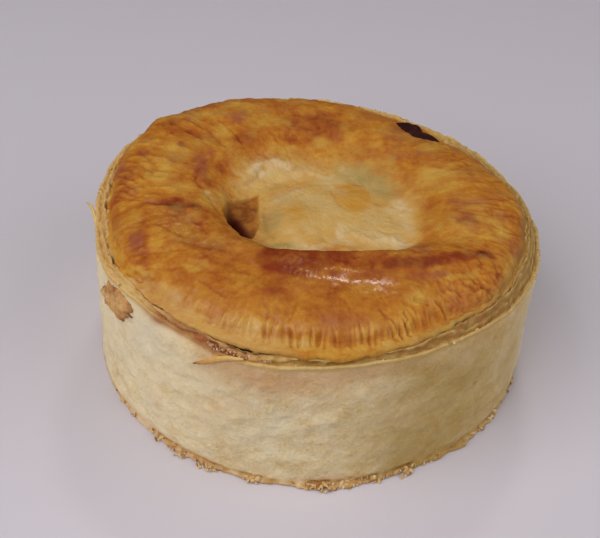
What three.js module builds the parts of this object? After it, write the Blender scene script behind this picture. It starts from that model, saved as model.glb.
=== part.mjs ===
// A round, deep meat pie, uncut: a pale shortcrust case that holds its filling, under a glazed pastry lid.
// The lid is a puffed ring round a sunken middle, with a straight fold in front and a vent at the left.
// Millimetres, +Z up, the front towards -Y, the origin at the middle of the flat base.
import * as THREE from "three";

const FULL_TURN = 2 * Math.PI;
const DEGREE = Math.PI / 180;

// Driving dimensions, in millimetres.
// A tour gives a size at even steps round the pie: from the right by the back, the left and the front.
const RIM_RADIUS = tour([54.9, 53.2, 50.6, 51.2, 52.8, 54.6, 54.6, 55.2, 55.0, 54.4, 53.5, 54.7]);
const SEAT_HEIGHT = 39.5; // top of the case's rim, where the lid rests
const LID_THICKNESS = 3.6; // of the rolled lid, away from its thin edge
const FILLING_GAP = 0.3; // steam gap under the lid, inside the rim
const BOX_CENTRE = { x: 0.3, y: -1.6 }; // of the pie's outline, which isn't quite round

// The case's insets are distances in from the rim's line
const CASE = {
  soleInset: 2.2, // flat underside
  footInset: 0.2, // ragged fringe of baked dough round the sole
  footHeight: 0.9,
  footRaggedness: 0.7,
  baseInset: 1.0, // foot of the wall
  topInset: 0.7, // head of the wall
  wallStart: 2.2,
  wallEnd: 36.8,
  wallUnevenness: 0.35,
  wallTwist: 0.4, // the unevenness turns this far, in radians, up the wall
  lipThickness: 1.4,
  lipWaver: 0.45,
  lipRounding: 0.35,
  rimWidth: 8, // flat rim under the edge of the lid
};

// The lip is torn away along the front left, and starts again as a curled sliver
const TEAR = { from: -142 * DEGREE, to: -116 * DEGREE, blend: 4 * DEGREE, depth: 1.3 };
const SLIVER = { angle: -111 * DEGREE, spread: 3 * DEGREE, reach: 1.1 };
// A scab of dough and gravy that ran over the wall below the lip
const SCAB = { angle: -143 * DEGREE, spread: 4 * DEGREE, height: 33.5, drop: 3.6, reach: 1.3 };

const LID = {
  edgeInset: tour([2.6, 3.3, 2.4, 2.4, 1.3, 2.2, 3.8, 2.8, 2.5, 1.0, 2.0, 2.6]), // from the rim's line
  edgeRise: 2.1, // thickness of the cut edge
  edgeRounding: 0.8,
  edgeWaver: 0.5,
  edgeLift: 0.5, // the edge rises and falls by this much round the pie
  liftReach: 12,
  flangeWidth: tour([2.0, 2.4, 3.4, 2.8, 2.0, 1.8, 1.8, 2.2, 3.0, 3.4, 3.2, 2.2]),
  ringHeight: tour([46.0, 45.6, 45.2, 45.4, 46.2, 46.6, 46.8, 46.8, 46.6, 46.4, 46.2, 46.0]),
  outerFlank: tour([11, 12, 12, 10, 9.5, 10, 11, 12, 12, 12, 12, 11]), // run of the ring's outer slope
  sunkRadius: tour([19, 16, 13.5, 12.5, 13, 15, 16.5, 17.5, 19, 18.6, 19, 20]), // where the middle ends
  innerFlank: tour([15, 18, 20, 20, 18, 15, 14.5, 14, 9, 5.5, 7, 11]), // run of the ring's inner slope
  floorHeight: 41.2, // of the sunken middle
  seatBlend: 6, // the underside leaves the flat rim over this run
};

// At the back left the lid's edge came away from the case and curled up
const CURL = { angle: 136 * DEGREE, spread: 17 * DEGREE, rise: 1, reach: 7 };
// A low hump in the sunken middle
const HUMP = { x: 3, y: -3, spreadX: 12, spreadY: 9, rise: 1.3 };
// A straight crest between the middle and the front of the ring
const FOLD = { from: [-15, -25.8], to: [38, -18.2], crest: 1.2, dentSide: 2.2, frontSide: 6.5, fade: 0.22 };
// A tongue of the lid pushed in: it slopes down from the middle to a steep, crescent wall at the left
const VENT = {
  x: -18.5,
  y: -6,
  turn: -61 * DEGREE,
  from: -5.5, // the tongue's ends, along its turn
  to: 10.5,
  endBlend: 2.2,
  flapRun: 8.5,
  wallAt: -4.6,
  wallRun: 1.8,
  bow: 0.02,
  depth: 5,
};
// Pleats that the baking drew up round the edge; start and end are distances in from it
const PLEATS = {
  count: 60,
  depth: 0.5,
  start: 1,
  startBlend: 2,
  end: 9.5,
  endBlend: 5,
  drift: 2,
  evenShare: 0.65,
};
// Filling that boiled over and burnt on, at the back right
const BOIL_OVER = { angle: 53 * DEGREE, inset: 4.5, halfLength: 7, halfWidth: 2.4, rise: 1.1 };

// Where the rings of points lie, and how many points they have
const FINE = 240;
const MIDDLE = 120;
const COARSE = 60;
const SOLE_SHARES = [0.36, 0.73]; // shares of the rim's radius
const WALL_HEIGHTS = [CASE.wallStart, 8, 15, 22, 28, 31, 34, CASE.wallEnd];
const UNDERSIDE_SHARES = [0.11, 0.22, 0.3, 0.37, 0.44, 0.53, 0.62, 0.71, 0.78, 0.85]; // of the rim's radius
const OUTER_INSETS = [1, 2.6, 4, 5.3, 7, 9.5, 12.5]; // distances in from the lid's edge
const CROWN_SHARES = [0.35, 0.7]; // shares of the way over the top of the puffed ring
const FLANK_SHARES = [1, 0.75, 0.55, 0.4, 0.25, 0]; // shares of the way down to the sunken middle
const FLOOR_SHARES = [0.75, 0.5, 0.25];

// A size that goes smoothly round the pie through values at even steps
function tour(values) {
  const at = (index) => values[(index + values.length) % values.length];
  return (angle) => {
    const place = (THREE.MathUtils.euclideanModulo(angle, FULL_TURN) / FULL_TURN) * values.length;
    const index = Math.floor(place);
    const t = place - index;
    const [a, b, c, d] = [at(index - 1), at(index), at(index + 1), at(index + 2)];
    const bend = 2 * a - 5 * b + 4 * c - d;
    const turn = 3 * (b - c) + d - a;
    return b + (t / 2) * (c - a + t * (bend + t * turn));
  };
}

// A repeatable source of numbers from 0 to 1
function seededDraw(seed) {
  let state = seed;
  return () => {
    state = (Math.imul(state, 1664525) + 1013904223) >>> 0;
    return state / 2 ** 32;
  };
}

// An uneven wave round the pie, from -1 to 1, made of waves of the given counts
function unevenWave(seed, counts) {
  const draw = seededDraw(seed);
  const waves = counts.map((count) => ({ count, phase: FULL_TURN * draw() }));
  return (angle) =>
    waves.reduce((sum, { count, phase }) => sum + Math.sin(count * angle + phase), 0) / counts.length;
}

const { clamp, lerp } = THREE.MathUtils;
const smooth = (t) => THREE.MathUtils.smoothstep(t, 0, 1);
const bell = (t) => Math.exp(-t * t);
const roundShoulder = (t) => Math.sqrt(1 - (1 - clamp(t, 0, 1)) ** 2); // steep at 0, level at 1
const angleBetween = (a, b) => Math.atan2(Math.sin(a - b), Math.cos(a - b));

const footWave = unevenWave(11, [9, 17, 31, 47]);
const wallWave = unevenWave(23, [3, 5, 8]);
const wallLean = unevenWave(29, [4, 7, 13]);
const lipWave = unevenWave(37, [7, 13, 22, 41]);
const edgeWave = unevenWave(41, [5, 9, 16, 27]);
const edgeLift = unevenWave(43, [4, 7, 12]);
const pleatDrift = unevenWave(53, [3, 8, 19]);
const pleatDepth = unevenWave(59, [4, 11, 17]);

// How much of the lip is torn off at an angle, from 0 to 1
function tornAway(angle) {
  const turned = angleBetween(angle, 0);
  return smooth((turned - TEAR.from) / TEAR.blend) * smooth((TEAR.to - turned) / TEAR.blend);
}

function lipRadius(angle) {
  const sliver = SLIVER.reach * bell(angleBetween(angle, SLIVER.angle) / SLIVER.spread);
  return RIM_RADIUS(angle) - TEAR.depth * tornAway(angle) + sliver + CASE.lipWaver * lipWave(angle);
}

function footRadius(angle) {
  return RIM_RADIUS(angle) - CASE.footInset + CASE.footRaggedness * footWave(angle);
}

function wallRadius(angle, height) {
  const up = (height - CASE.wallStart) / (CASE.wallEnd - CASE.wallStart);
  const straight = RIM_RADIUS(angle) - lerp(CASE.baseInset, CASE.topInset, up);
  const turned = angle + CASE.wallTwist * up;
  const uneven = lerp(wallWave(turned), wallLean(turned), up);
  const sideways = angleBetween(angle, SCAB.angle) / SCAB.spread;
  const scab = bell(sideways) * bell((height - SCAB.height) / SCAB.drop);
  return straight + CASE.wallUnevenness * uneven + SCAB.reach * scab;
}

const lidEdgeRadius = (angle) => RIM_RADIUS(angle) - LID.edgeInset(angle) + LID.edgeWaver * edgeWave(angle);

// How far a point lies behind the fold's line, and how far along it from 0 to 1
function placeOnFold(x, y) {
  const [startX, startY] = FOLD.from;
  const runX = FOLD.to[0] - startX;
  const runY = FOLD.to[1] - startY;
  const length = Math.hypot(runX, runY);
  const along = ((x - startX) * runX + (y - startY) * runY) / length ** 2;
  const behind = ((y - startY) * runX - (x - startX) * runY) / length;
  return { along, behind };
}

function foldRise(x, y) {
  const { along, behind } = placeOnFold(x, y);
  const reach = behind > 0 ? FOLD.dentSide : FOLD.frontSide;
  const fade = smooth(along / FOLD.fade) * smooth((1 - along) / FOLD.fade);
  return FOLD.crest * bell(behind / reach) * fade;
}

function ventDrop(x, y) {
  const dx = x - VENT.x;
  const dy = y - VENT.y;
  const lengthwise = dx * Math.cos(VENT.turn) + dy * Math.sin(VENT.turn);
  const uphill = dy * Math.cos(VENT.turn) - dx * Math.sin(VENT.turn);
  const fromEnd = Math.min(lengthwise - VENT.from, VENT.to - lengthwise);
  const ends = smooth(fromEnd / VENT.endBlend);
  const wallAt = VENT.wallAt + VENT.bow * lengthwise ** 2;
  const wall = smooth((uphill - wallAt) / VENT.wallRun);
  const flap = smooth(1 - (uphill - wallAt) / (VENT.flapRun - VENT.wallAt));
  return VENT.depth * ends * flap * wall;
}

function pleatRelief(angle, inset) {
  const begin = smooth((inset - PLEATS.start) / PLEATS.startBlend);
  const finish = smooth((PLEATS.end - inset) / PLEATS.endBlend);
  const wave = Math.sin(PLEATS.count * angle + PLEATS.drift * pleatDrift(angle));
  const strength = lerp(pleatDepth(angle), 1, PLEATS.evenShare);
  return PLEATS.depth * begin * finish * strength * wave;
}

function boilOverRise(angle, inset, radius) {
  const along = (angleBetween(angle, BOIL_OVER.angle) * radius) / BOIL_OVER.halfLength;
  const across = (inset - BOIL_OVER.inset) / BOIL_OVER.halfWidth;
  return BOIL_OVER.rise * bell(along) * bell(across);
}

// The rolled form of the lid's upper face: flange, puffed ring and sunken middle
function lidForm(angle, radius) {
  const x = radius * Math.cos(angle);
  const y = radius * Math.sin(angle);
  const flangeTop = SEAT_HEIGHT + LID.edgeRise;
  const climb = lidEdgeRadius(angle) - radius - LID.flangeWidth(angle);
  const ring = lerp(flangeTop, LID.ringHeight(angle), roundShoulder(climb / LID.outerFlank(angle)));
  const hump = HUMP.rise * bell((x - HUMP.x) / HUMP.spreadX) * bell((y - HUMP.y) / HUMP.spreadY);
  const inner = smooth((radius - LID.sunkRadius(angle)) / LID.innerFlank(angle));
  return lerp(LID.floorHeight + hump, ring, inner) + foldRise(x, y);
}

function lidTop(angle, radius) {
  const inset = lidEdgeRadius(angle) - radius;
  const lift = LID.edgeLift * edgeLift(angle) * smooth(1 - inset / LID.liftReach);
  const curlFade = bell(angleBetween(angle, CURL.angle) / CURL.spread) * smooth(1 - inset / CURL.reach);
  const curl = CURL.rise * curlFade;
  const relief = pleatRelief(angle, inset) + boilOverRise(angle, inset, radius) + lift + curl;
  return lidForm(angle, radius) + relief - ventDrop(radius * Math.cos(angle), radius * Math.sin(angle));
}

// The lid's underside follows its form inside the rim, and lies flat on the rim
function lidUnderside(angle, radius) {
  const inside = smooth((RIM_RADIUS(angle) - CASE.rimWidth - radius) / LID.seatBlend);
  const vent = ventDrop(radius * Math.cos(angle), radius * Math.sin(angle));
  return lerp(SEAT_HEIGHT, lidForm(angle, radius) - LID_THICKNESS - vent, inside);
}

const fillingTop = (angle, radius) => lidUnderside(angle, radius) - FILLING_GAP;

// A ring of points: its radius and height are functions of the angle
function ring(count, radiusAt, heightAt) {
  return Array.from({ length: count }, (_, index) => {
    const angle = (FULL_TURN * index) / count;
    const radius = radiusAt(angle);
    return new THREE.Vector3(radius * Math.cos(angle), radius * Math.sin(angle), heightAt(angle, radius));
  });
}

const pole = (height) => [new THREE.Vector3(0, 0, height)];
const constant = (value) => () => value;
const shareOfRim = (share) => (angle) => share * RIM_RADIUS(angle);
const inFromRim = (inset) => (angle) => RIM_RADIUS(angle) - inset;

// The triangles between two rings, where one has as many points as the other or a whole multiple of them.
// A four-sided gap is split along its shorter diagonal.
function stitch(triangles, lower, upper) {
  const steps = Math.max(lower.length, upper.length);
  const at = (points, step) => points[Math.floor((step * points.length) / steps) % points.length];
  for (let step = 0; step < steps; step += 1) {
    const [a, b] = [at(lower, step), at(lower, step + 1)];
    const [c, d] = [at(upper, step + 1), at(upper, step)];
    if (a === b) triangles.push(b, c, d);
    else if (c === d) triangles.push(a, b, d);
    else if (a.distanceTo(c) < b.distanceTo(d)) triangles.push(a, b, c, a, c, d);
    else triangles.push(a, b, d, b, c, d);
  }
}

// A closed solid over rings that run from the middle of its underside, round the rim, to the top's middle
function solidFromRings(rings) {
  const triangles = [];
  rings.slice(1).forEach((upper, index) => stitch(triangles, rings[index], upper));
  const geometry = new THREE.BufferGeometry().setFromPoints(triangles);
  geometry.computeVertexNormals();
  return geometry;
}

function filledCaseGeometry() {
  const lipInset = (distance) => (angle) => lipRadius(angle) - distance;
  const lipHeight = (angle) => SEAT_HEIGHT - CASE.lipThickness + CASE.lipWaver * lipWave(angle + 1);
  return solidFromRings([
    pole(0),
    ...SOLE_SHARES.map((share) => ring(COARSE, shareOfRim(share), constant(0))),
    ring(MIDDLE, inFromRim(CASE.soleInset), constant(0)),
    ring(MIDDLE, footRadius, constant(CASE.footHeight)),
    ...WALL_HEIGHTS.map((height) => ring(MIDDLE, (angle) => wallRadius(angle, height), constant(height))),
    ring(MIDDLE, lipRadius, lipHeight),
    ring(MIDDLE, lipInset(CASE.lipRounding), constant(SEAT_HEIGHT - CASE.lipRounding)),
    ring(MIDDLE, lipInset(3 * CASE.lipRounding), constant(SEAT_HEIGHT)),
    ring(COARSE, inFromRim(CASE.rimWidth - 1), constant(SEAT_HEIGHT)),
    ...UNDERSIDE_SHARES.toReversed().map((share) => ring(COARSE, shareOfRim(share), fillingTop)),
    pole(fillingTop(0, 0)),
  ]);
}

function lidGeometry() {
  const fromEdge = (inset) => (angle) => lidEdgeRadius(angle) - inset;
  const onFlank = (share) => (angle) => LID.sunkRadius(angle) + share * LID.innerFlank(angle);
  const crownStart = fromEdge(OUTER_INSETS.at(-1));
  const onCrown = (share) => (angle) => lerp(crownStart(angle), onFlank(1)(angle), share);
  const onFloor = (share) => (angle) => share * LID.sunkRadius(angle);
  const upperFace = (count, radiusFor, steps) => steps.map((step) => ring(count, radiusFor(step), lidTop));
  const edgeTop = (angle, radius) => lidTop(angle, radius) - LID.edgeRounding;
  return solidFromRings([
    pole(lidUnderside(0, 0)),
    ...UNDERSIDE_SHARES.map((share) => ring(COARSE, shareOfRim(share), lidUnderside)),
    ring(FINE, fromEdge(1.5 * LID.edgeRounding), constant(SEAT_HEIGHT)),
    ring(FINE, fromEdge(0), constant(SEAT_HEIGHT + LID.edgeRounding)),
    ring(FINE, fromEdge(0.2 * LID.edgeRounding), edgeTop),
    ...upperFace(FINE, fromEdge, OUTER_INSETS),
    ...upperFace(MIDDLE, onCrown, CROWN_SHARES),
    ...upperFace(MIDDLE, onFlank, FLANK_SHARES),
    ...upperFace(COARSE, onFloor, FLOOR_SHARES),
    pole(lidTop(0, 0)),
  ]);
}

const shortcrust = new THREE.MeshStandardMaterial({ color: 0xd2bb8e, roughness: 0.9, metalness: 0 });
const glazedPastry = new THREE.MeshStandardMaterial({ color: 0xb8762c, roughness: 0.42, metalness: 0 });

const filledCase = new THREE.Mesh(filledCaseGeometry(), shortcrust);
filledCase.name = "filled_case";

const lid = new THREE.Mesh(lidGeometry(), glazedPastry);
lid.name = "lid";

// The origin goes under the middle of the pie's box
const pie = new THREE.Group();
pie.add(filledCase, lid);
pie.position.set(-BOX_CENTRE.x, -BOX_CENTRE.y, 0);

export default pie;
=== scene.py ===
import math

import bpy
import numpy as np
from mathutils import Matrix, Vector


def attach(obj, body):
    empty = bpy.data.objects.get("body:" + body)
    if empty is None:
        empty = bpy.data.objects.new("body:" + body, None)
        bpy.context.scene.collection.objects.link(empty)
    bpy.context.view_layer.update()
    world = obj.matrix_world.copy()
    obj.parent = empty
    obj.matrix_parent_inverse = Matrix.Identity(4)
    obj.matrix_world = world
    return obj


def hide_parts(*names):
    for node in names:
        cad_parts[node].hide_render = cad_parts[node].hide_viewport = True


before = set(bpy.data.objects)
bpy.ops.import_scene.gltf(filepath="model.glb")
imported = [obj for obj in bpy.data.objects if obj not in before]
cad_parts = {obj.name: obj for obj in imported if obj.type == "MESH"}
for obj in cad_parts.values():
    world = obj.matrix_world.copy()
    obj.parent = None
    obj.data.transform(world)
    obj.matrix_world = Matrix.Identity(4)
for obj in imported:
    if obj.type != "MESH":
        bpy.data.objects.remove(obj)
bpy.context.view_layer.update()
print("frame loaded:", sorted(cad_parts))

mm = 0.001
degree = math.pi / 180
fullTurn = 2 * math.pi
pieAxis = np.array([-0.3, 1.6, 0.0])  # mm, where the pie's own axis stands in the frame
edgeLength = 50  # mm of edge to a radian, near enough all round
farAway = 1e9


# small shape functions on numpy arrays, in millimetres and radians
def limit(values):
    return np.clip(values, 0, 1)


def smooth(t):
    t = limit(t)
    return t * t * (3 - 2 * t)


def bell(t):
    return np.exp(-t * t)


def mix(a, b, t):
    return a + (b - a) * t


# 1 from start to end, with soft sides
def window(t, start, rise, end, fall):
    return smooth((t - start) / rise) * smooth((end - t) / fall)


def ridged(values):
    return 1 - 2 * np.abs(values)


def roundShoulder(t):
    return np.sqrt(1 - (1 - limit(t)) ** 2)


def angleBetween(a, b):
    return np.arctan2(np.sin(a - b), np.cos(a - b))


# 1 on the side of the pie that faces a direction in degrees, with soft ends
def facing(angle, direction, gain, threshold):
    return smooth(np.cos(angle - direction * degree) * gain - threshold)


# a size that goes smoothly round the pie: from the right by the back, the left and the front
def tour(angle, values):
    values = np.asarray(values, float)
    place = np.mod(angle, fullTurn) / fullTurn * len(values)
    index = np.floor(place).astype(int)
    t = place - index
    a, b, c, d = (values[(index + step) % len(values)] for step in (-1, 0, 1, 2))
    return b + t / 2 * (c - a + t * (2 * a - 5 * b + 4 * c - d + t * (3 * (b - c) + d - a)))


# waves round the pie, each starting at its own place from a fixed row of numbers
def unevenWave(angle, seed, counts):
    state, total = seed, 0.0
    for count in counts:
        state = (state * 1664525 + 1013904223) % 2 ** 32
        total = total + np.sin(count * angle + fullTurn * state / 2 ** 32)
    return total / len(counts)


# value noise from -1 to 1 at points of any shape (..., 3), from a fixed hash of each cell's corners
def lumps(points, size, seed):
    place = points / size
    cell = np.floor(place).astype(np.int64)
    t = place - cell
    t = t * t * t * (t * (6 * t - 15) + 10)
    total = 0.0
    for corner in np.ndindex(2, 2, 2):
        x, y, z = ((cell[..., k] + corner[k]) for k in range(3))
        mixed = (x * 374761393 + y * 668265263 + z * 1103515245 + seed * 144665773) & 0xFFFFFFFF
        mixed = ((mixed ^ (mixed >> 13)) * 1274126177) & 0xFFFFFFFF
        mixed = mixed ^ (mixed >> 16)
        weight = 1.0
        for k in range(3):
            weight = weight * (t[..., k] if corner[k] else 1 - t[..., k])
        total = total + weight * (mixed / 2 ** 31 - 1)
    return total


def roughLumps(points, size, seed, octaves=3):
    total, strength, whole = 0.0, 1.0, 0.0
    for octave in range(octaves):
        total = total + strength * lumps(points, size / 2 ** octave, seed + 17 * octave)
        whole += strength
        strength *= 0.55
    return total / whole


# noise on the round of the pie: acrossSize is the size along the edge, alongSize towards the middle
def roundLumps(angle, inset, acrossSize, alongSize, seed, octaves=2):
    turn = edgeLength / acrossSize
    points = np.stack([turn * np.cos(angle), turn * np.sin(angle), inset / alongSize + 0 * angle], -1)
    return roughLumps(points, 1.0, seed, octaves)


def edgeLumps(angle, size, seed, octaves=2):
    return roundLumps(angle, 0.0, size, 1.0, seed, octaves)


# how far points are from a straight line between two points, and how far along it, from 0 to 1
def lineGap(x, y, start, end):
    (ax, ay), (bx, by) = start, end
    t = limit(((x - ax) * (bx - ax) + (y - ay) * (by - ay)) / math.dist(start, end) ** 2)
    return np.hypot(x - ax - t * (bx - ax), y - ay - t * (by - ay)), t


# how near points are to a drawn line: 1 on it and 0 beyond its width, weaker and thinner at both ends
def stroke(x, y, line, width, sharp=False):
    near, place = np.full(np.shape(x), farAway), np.zeros(np.shape(x))
    total = sum(math.dist(a, b) for a, b in zip(line, line[1:]))
    done = 0.0
    for start, end in zip(line, line[1:]):
        gap, t = lineGap(x, y, start, end)
        length = math.dist(start, end)
        closer = gap < near
        place = np.where(closer, (done + t * length) / total, place)
        near = np.where(closer, gap, near)
        done += length
    ends = 0.2  # share of the line that tapers
    taper = window(place, 0, ends, 1, ends)
    gap = near / (width * (0.35 + 0.65 * taper))
    return (np.exp(-1.5 * gap) if sharp else bell(gap)) * (0.25 + 0.75 * taper)


# how far inside a drawn outline points lie, in millimetres, negative outside
def insideOutline(x, y, outline):
    near, inside = np.full(np.shape(x), farAway), np.zeros(np.shape(x), bool)
    for (ax, ay), (bx, by) in zip(outline, outline[1:] + outline[:1]):
        near = np.minimum(near, lineGap(x, y, (ax, ay), (bx, by))[0])
        inside ^= ((ay > y) != (by > y)) & (x < (bx - ax) * (y - ay) / (by - ay + 1e-12) + ax)
    return np.where(inside, near, -near)


# rows of spots are x, y, length, width, turn in degrees, strength; a gap of 1 is at a spot's end
def spotGaps(x, y, rows):
    for sx, sy, length, width, turn, strength in rows:
        c, s = math.cos(turn * degree), math.sin(turn * degree)
        u, v = (x - sx) * c + (y - sy) * s, (y - sy) * c - (x - sx) * s
        yield strength, np.hypot(u / length, v / width)


def spots(x, y, rows):
    return sum(strength * bell(gap) for strength, gap in spotGaps(x, y, rows))


# spots with a clearer edge
def patches(x, y, rows, edge=0.9):
    return sum(strength * smooth((1.1 - gap) / edge) for strength, gap in spotGaps(x, y, rows))


# soft places round the pie: angle and spread in degrees, strength
def places(angle, rows):
    return sum(strength * bell(angleBetween(angle, at * degree) / (spread * degree))
               for at, spread, strength in rows)


# points pushed about, so that what is drawn with them comes out uneven
def warped(x, y, amount, size, seed):
    flat = np.stack([x, y, 0 * x], -1)
    return x + amount * roughLumps(flat, size, seed), y + amount * roughLumps(flat, size, seed + 5)


# values on a grid of rings, averaged with their neighbours
def softened(values, rounds):
    for _ in range(rounds):
        values = (np.roll(values, 1, 1) + 2 * values + np.roll(values, -1, 1)) / 4
        padded = np.concatenate([values[:1], values, values[-1:]])
        values = (padded[:-2] + 2 * padded[1:-1] + padded[2:]) / 4
    return values


def ringOf(angle, radius, height):
    return np.stack([radius * np.cos(angle), radius * np.sin(angle), height + 0 * angle], -1)


# closed skin over rings from the middle of the underside to the middle of the top;
# a ring may have half the points of the ring before it
def skinRings(rings, firstPole, lastPole):
    starts = np.cumsum([0] + [len(ring) for ring in rings])
    faces = []
    for k in range(len(rings) - 1):
        outer, inner = len(rings[k]), len(rings[k + 1])
        a = np.arange(outer) + starts[k]
        b = np.arange(inner) + starts[k + 1]
        if outer == inner:
            faces += np.stack([a, np.roll(a, -1), np.roll(b, -1), b], -1).tolist()
        else:
            even, odd, nextEven, nextB = a[0::2], a[1::2], np.roll(a[0::2], -1), np.roll(b, -1)
            faces += np.stack([even, odd, b], -1).tolist() + np.stack([odd, nextEven, nextB], -1).tolist()
            faces += np.stack([odd, nextB, b], -1).tolist()
    first, last = int(starts[-1]), int(starts[-1]) + 1
    bottom, top = np.arange(len(rings[0])), np.arange(len(rings[-1])) + starts[-2]
    faces += [(first, int(b), int(a)) for a, b in zip(bottom, np.roll(bottom, -1))]
    faces += [(last, int(a), int(b)) for a, b in zip(top, np.roll(top, -1))]
    return np.concatenate([*rings, [firstPole], [lastPole]]), faces


def addPiece(name, vertices, faces, material, layers):
    mesh = bpy.data.meshes.new(name)
    mesh.from_pydata(((vertices + pieAxis) * mm).tolist(), [], faces)
    mesh.polygons.foreach_set("use_smooth", [True] * len(mesh.polygons))
    for layer, values in layers.items():
        attribute = mesh.attributes.new(layer, "FLOAT", "POINT")
        attribute.data.foreach_set("value", np.asarray(values, np.float32).ravel())
    mesh.materials.append(material)
    mesh.update()
    piece = bpy.data.objects.new(name, mesh)
    bpy.context.scene.collection.objects.link(piece)
    return piece


def finishPiece(piece, node=None):
    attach(piece, "root")
    if node:
        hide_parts(node)
    print(piece.name, len(piece.data.polygons), "faces")


# material building
def newMaterial(name):
    material = bpy.data.materials.new(name)
    material.use_nodes = True
    tree = material.node_tree
    return material, tree, tree.nodes["Principled BSDF"]


def addNode(tree, kind, inputs=None, **settings):
    made = tree.nodes.new(kind)
    for key, value in settings.items():
        setattr(made, key, value)
    for key, value in (inputs or {}).items():
        if isinstance(value, bpy.types.NodeSocket):
            tree.links.new(value, made.inputs[key])
        else:
            made.inputs[key].default_value = value
    return made


def painted(tree, layer):
    return addNode(tree, "ShaderNodeAttribute", attribute_name=layer).outputs["Fac"]


def noise(tree, scale, detail=3.0, roughness=0.6, distortion=0.0):
    place = addNode(tree, "ShaderNodeTexCoord").outputs["Object"]
    made = addNode(tree, "ShaderNodeTexNoise", {
        "Vector": place, "Scale": scale, "Detail": detail, "Roughness": roughness, "Distortion": distortion})
    return made.outputs["Fac"]


def arithmetic(tree, operation, a, b, clamp=False):
    return addNode(tree, "ShaderNodeMath", {0: a, 1: b}, operation=operation, use_clamp=clamp).outputs[0]


def stretch(tree, value, fromLow, fromHigh, toLow=0.0, toHigh=1.0):
    made = addNode(tree, "ShaderNodeMapRange", {
        "Value": value, "From Min": fromLow, "From Max": fromHigh, "To Min": toLow, "To Max": toHigh})
    return made.outputs["Result"]


# a texture added to a value, by so much up or down
def speckled(tree, value, texture, amount, clamp=False):
    return arithmetic(tree, "ADD", value, stretch(tree, texture, 0.3, 0.7, -amount, amount), clamp)


def linear(red, green, blue):
    parts = [v / 255 for v in (red, green, blue)]
    return [p / 12.92 if p <= 0.04045 else ((p + 0.055) / 1.055) ** 2.4 for p in parts] + [1.0]


def blend(tree, share, a, b):
    return addNode(tree, "ShaderNodeMix", {0: share, 6: a, 7: b}, data_type="RGBA").outputs[2]


# colours laid over each other: painted layer, its greatest share, colour
def layOver(tree, colour, rows):
    for layer, share, tint in rows:
        colour = blend(tree, stretch(tree, painted(tree, layer), 0, 1, 0, share), colour, linear(*tint))
    return colour


def ramp(tree, value, stops):
    made = addNode(tree, "ShaderNodeValToRGB", {"Fac": value})
    band = made.color_ramp
    while len(band.elements) < len(stops):
        band.elements.new(0.5)
    for element, (place, colour) in zip(band.elements, stops):
        element.position = place
        element.color = linear(*colour)
    return made.outputs["Color"]


def addBump(tree, shader, strength, distance, texture):
    bump = addNode(tree, "ShaderNodeBump", {"Strength": strength, "Distance": distance, "Height": texture})
    tree.links.new(bump.outputs["Normal"], shader.inputs["Normal"])


# camera: fitted to the pie's outline in a 600 by 538 frame
cameraSettings = dict(
    target=(-0.3, 1.6, 20.0), distance=311.2, elevation=40.34, roll=4.276, focal=1200.0, frameWidth=600,
    sensor=36.0, nearest=0.01, farthest=20,
    offset=(11.6, 3.0),  # the target is a little off the middle of the frame
)


def makeCamera(s):
    e, roll = s["elevation"] * degree, s["roll"] * degree
    back = Vector((0, -math.cos(e), math.sin(e)))
    right = Vector((1, 0, 0))
    up = back.cross(right)
    across = right * math.cos(roll) + up * math.sin(roll)
    upright = up * math.cos(roll) - right * math.sin(roll)
    basis = Matrix((across, upright, back)).transposed()
    seen = Vector((s["offset"][0], -s["offset"][1], -s["focal"])).normalized()
    basis = basis @ seen.rotation_difference(Vector((0, 0, -1))).to_matrix()
    data = bpy.data.cameras.new("camera")
    data.sensor_width = s["sensor"]
    data.sensor_fit = "HORIZONTAL"
    data.lens = s["sensor"] * s["focal"] / s["frameWidth"]
    data.clip_start, data.clip_end = s["nearest"], s["farthest"]
    camera = bpy.data.objects.new("camera", data)
    camera.matrix_world = Matrix.Translation(
        Vector(s["target"]) * mm + back * s["distance"] * mm) @ basis.to_4x4()
    bpy.context.scene.collection.objects.link(camera)
    bpy.context.scene.camera = camera


makeCamera(cameraSettings)
print("camera set")

studio = dict(
    floorColour=(214, 209, 219), floorRoughness=0.55, floorSize=3.0, lampAim=(0, 0, 0.03),
    world=0.05, worldColour=(0.93, 0.95, 1.0),
    # place in metres, size, power and colour
    lamps=dict(
        front=((-0.42, -0.38, 0.64), 0.8, 5.5, (1.0, 0.98, 0.97)),
        side=((0.62, -0.16, 0.52), 0.8, 2.6, (1.0, 0.98, 0.97)),
        ceiling=((0.0, -0.15, 0.9), 0.25, 0.3, (1.0, 0.98, 0.98)),
        window=((0.05, 0.56, 0.78), 0.12, 0.75, (1.0, 0.93, 0.82)),
    ),
)


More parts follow.
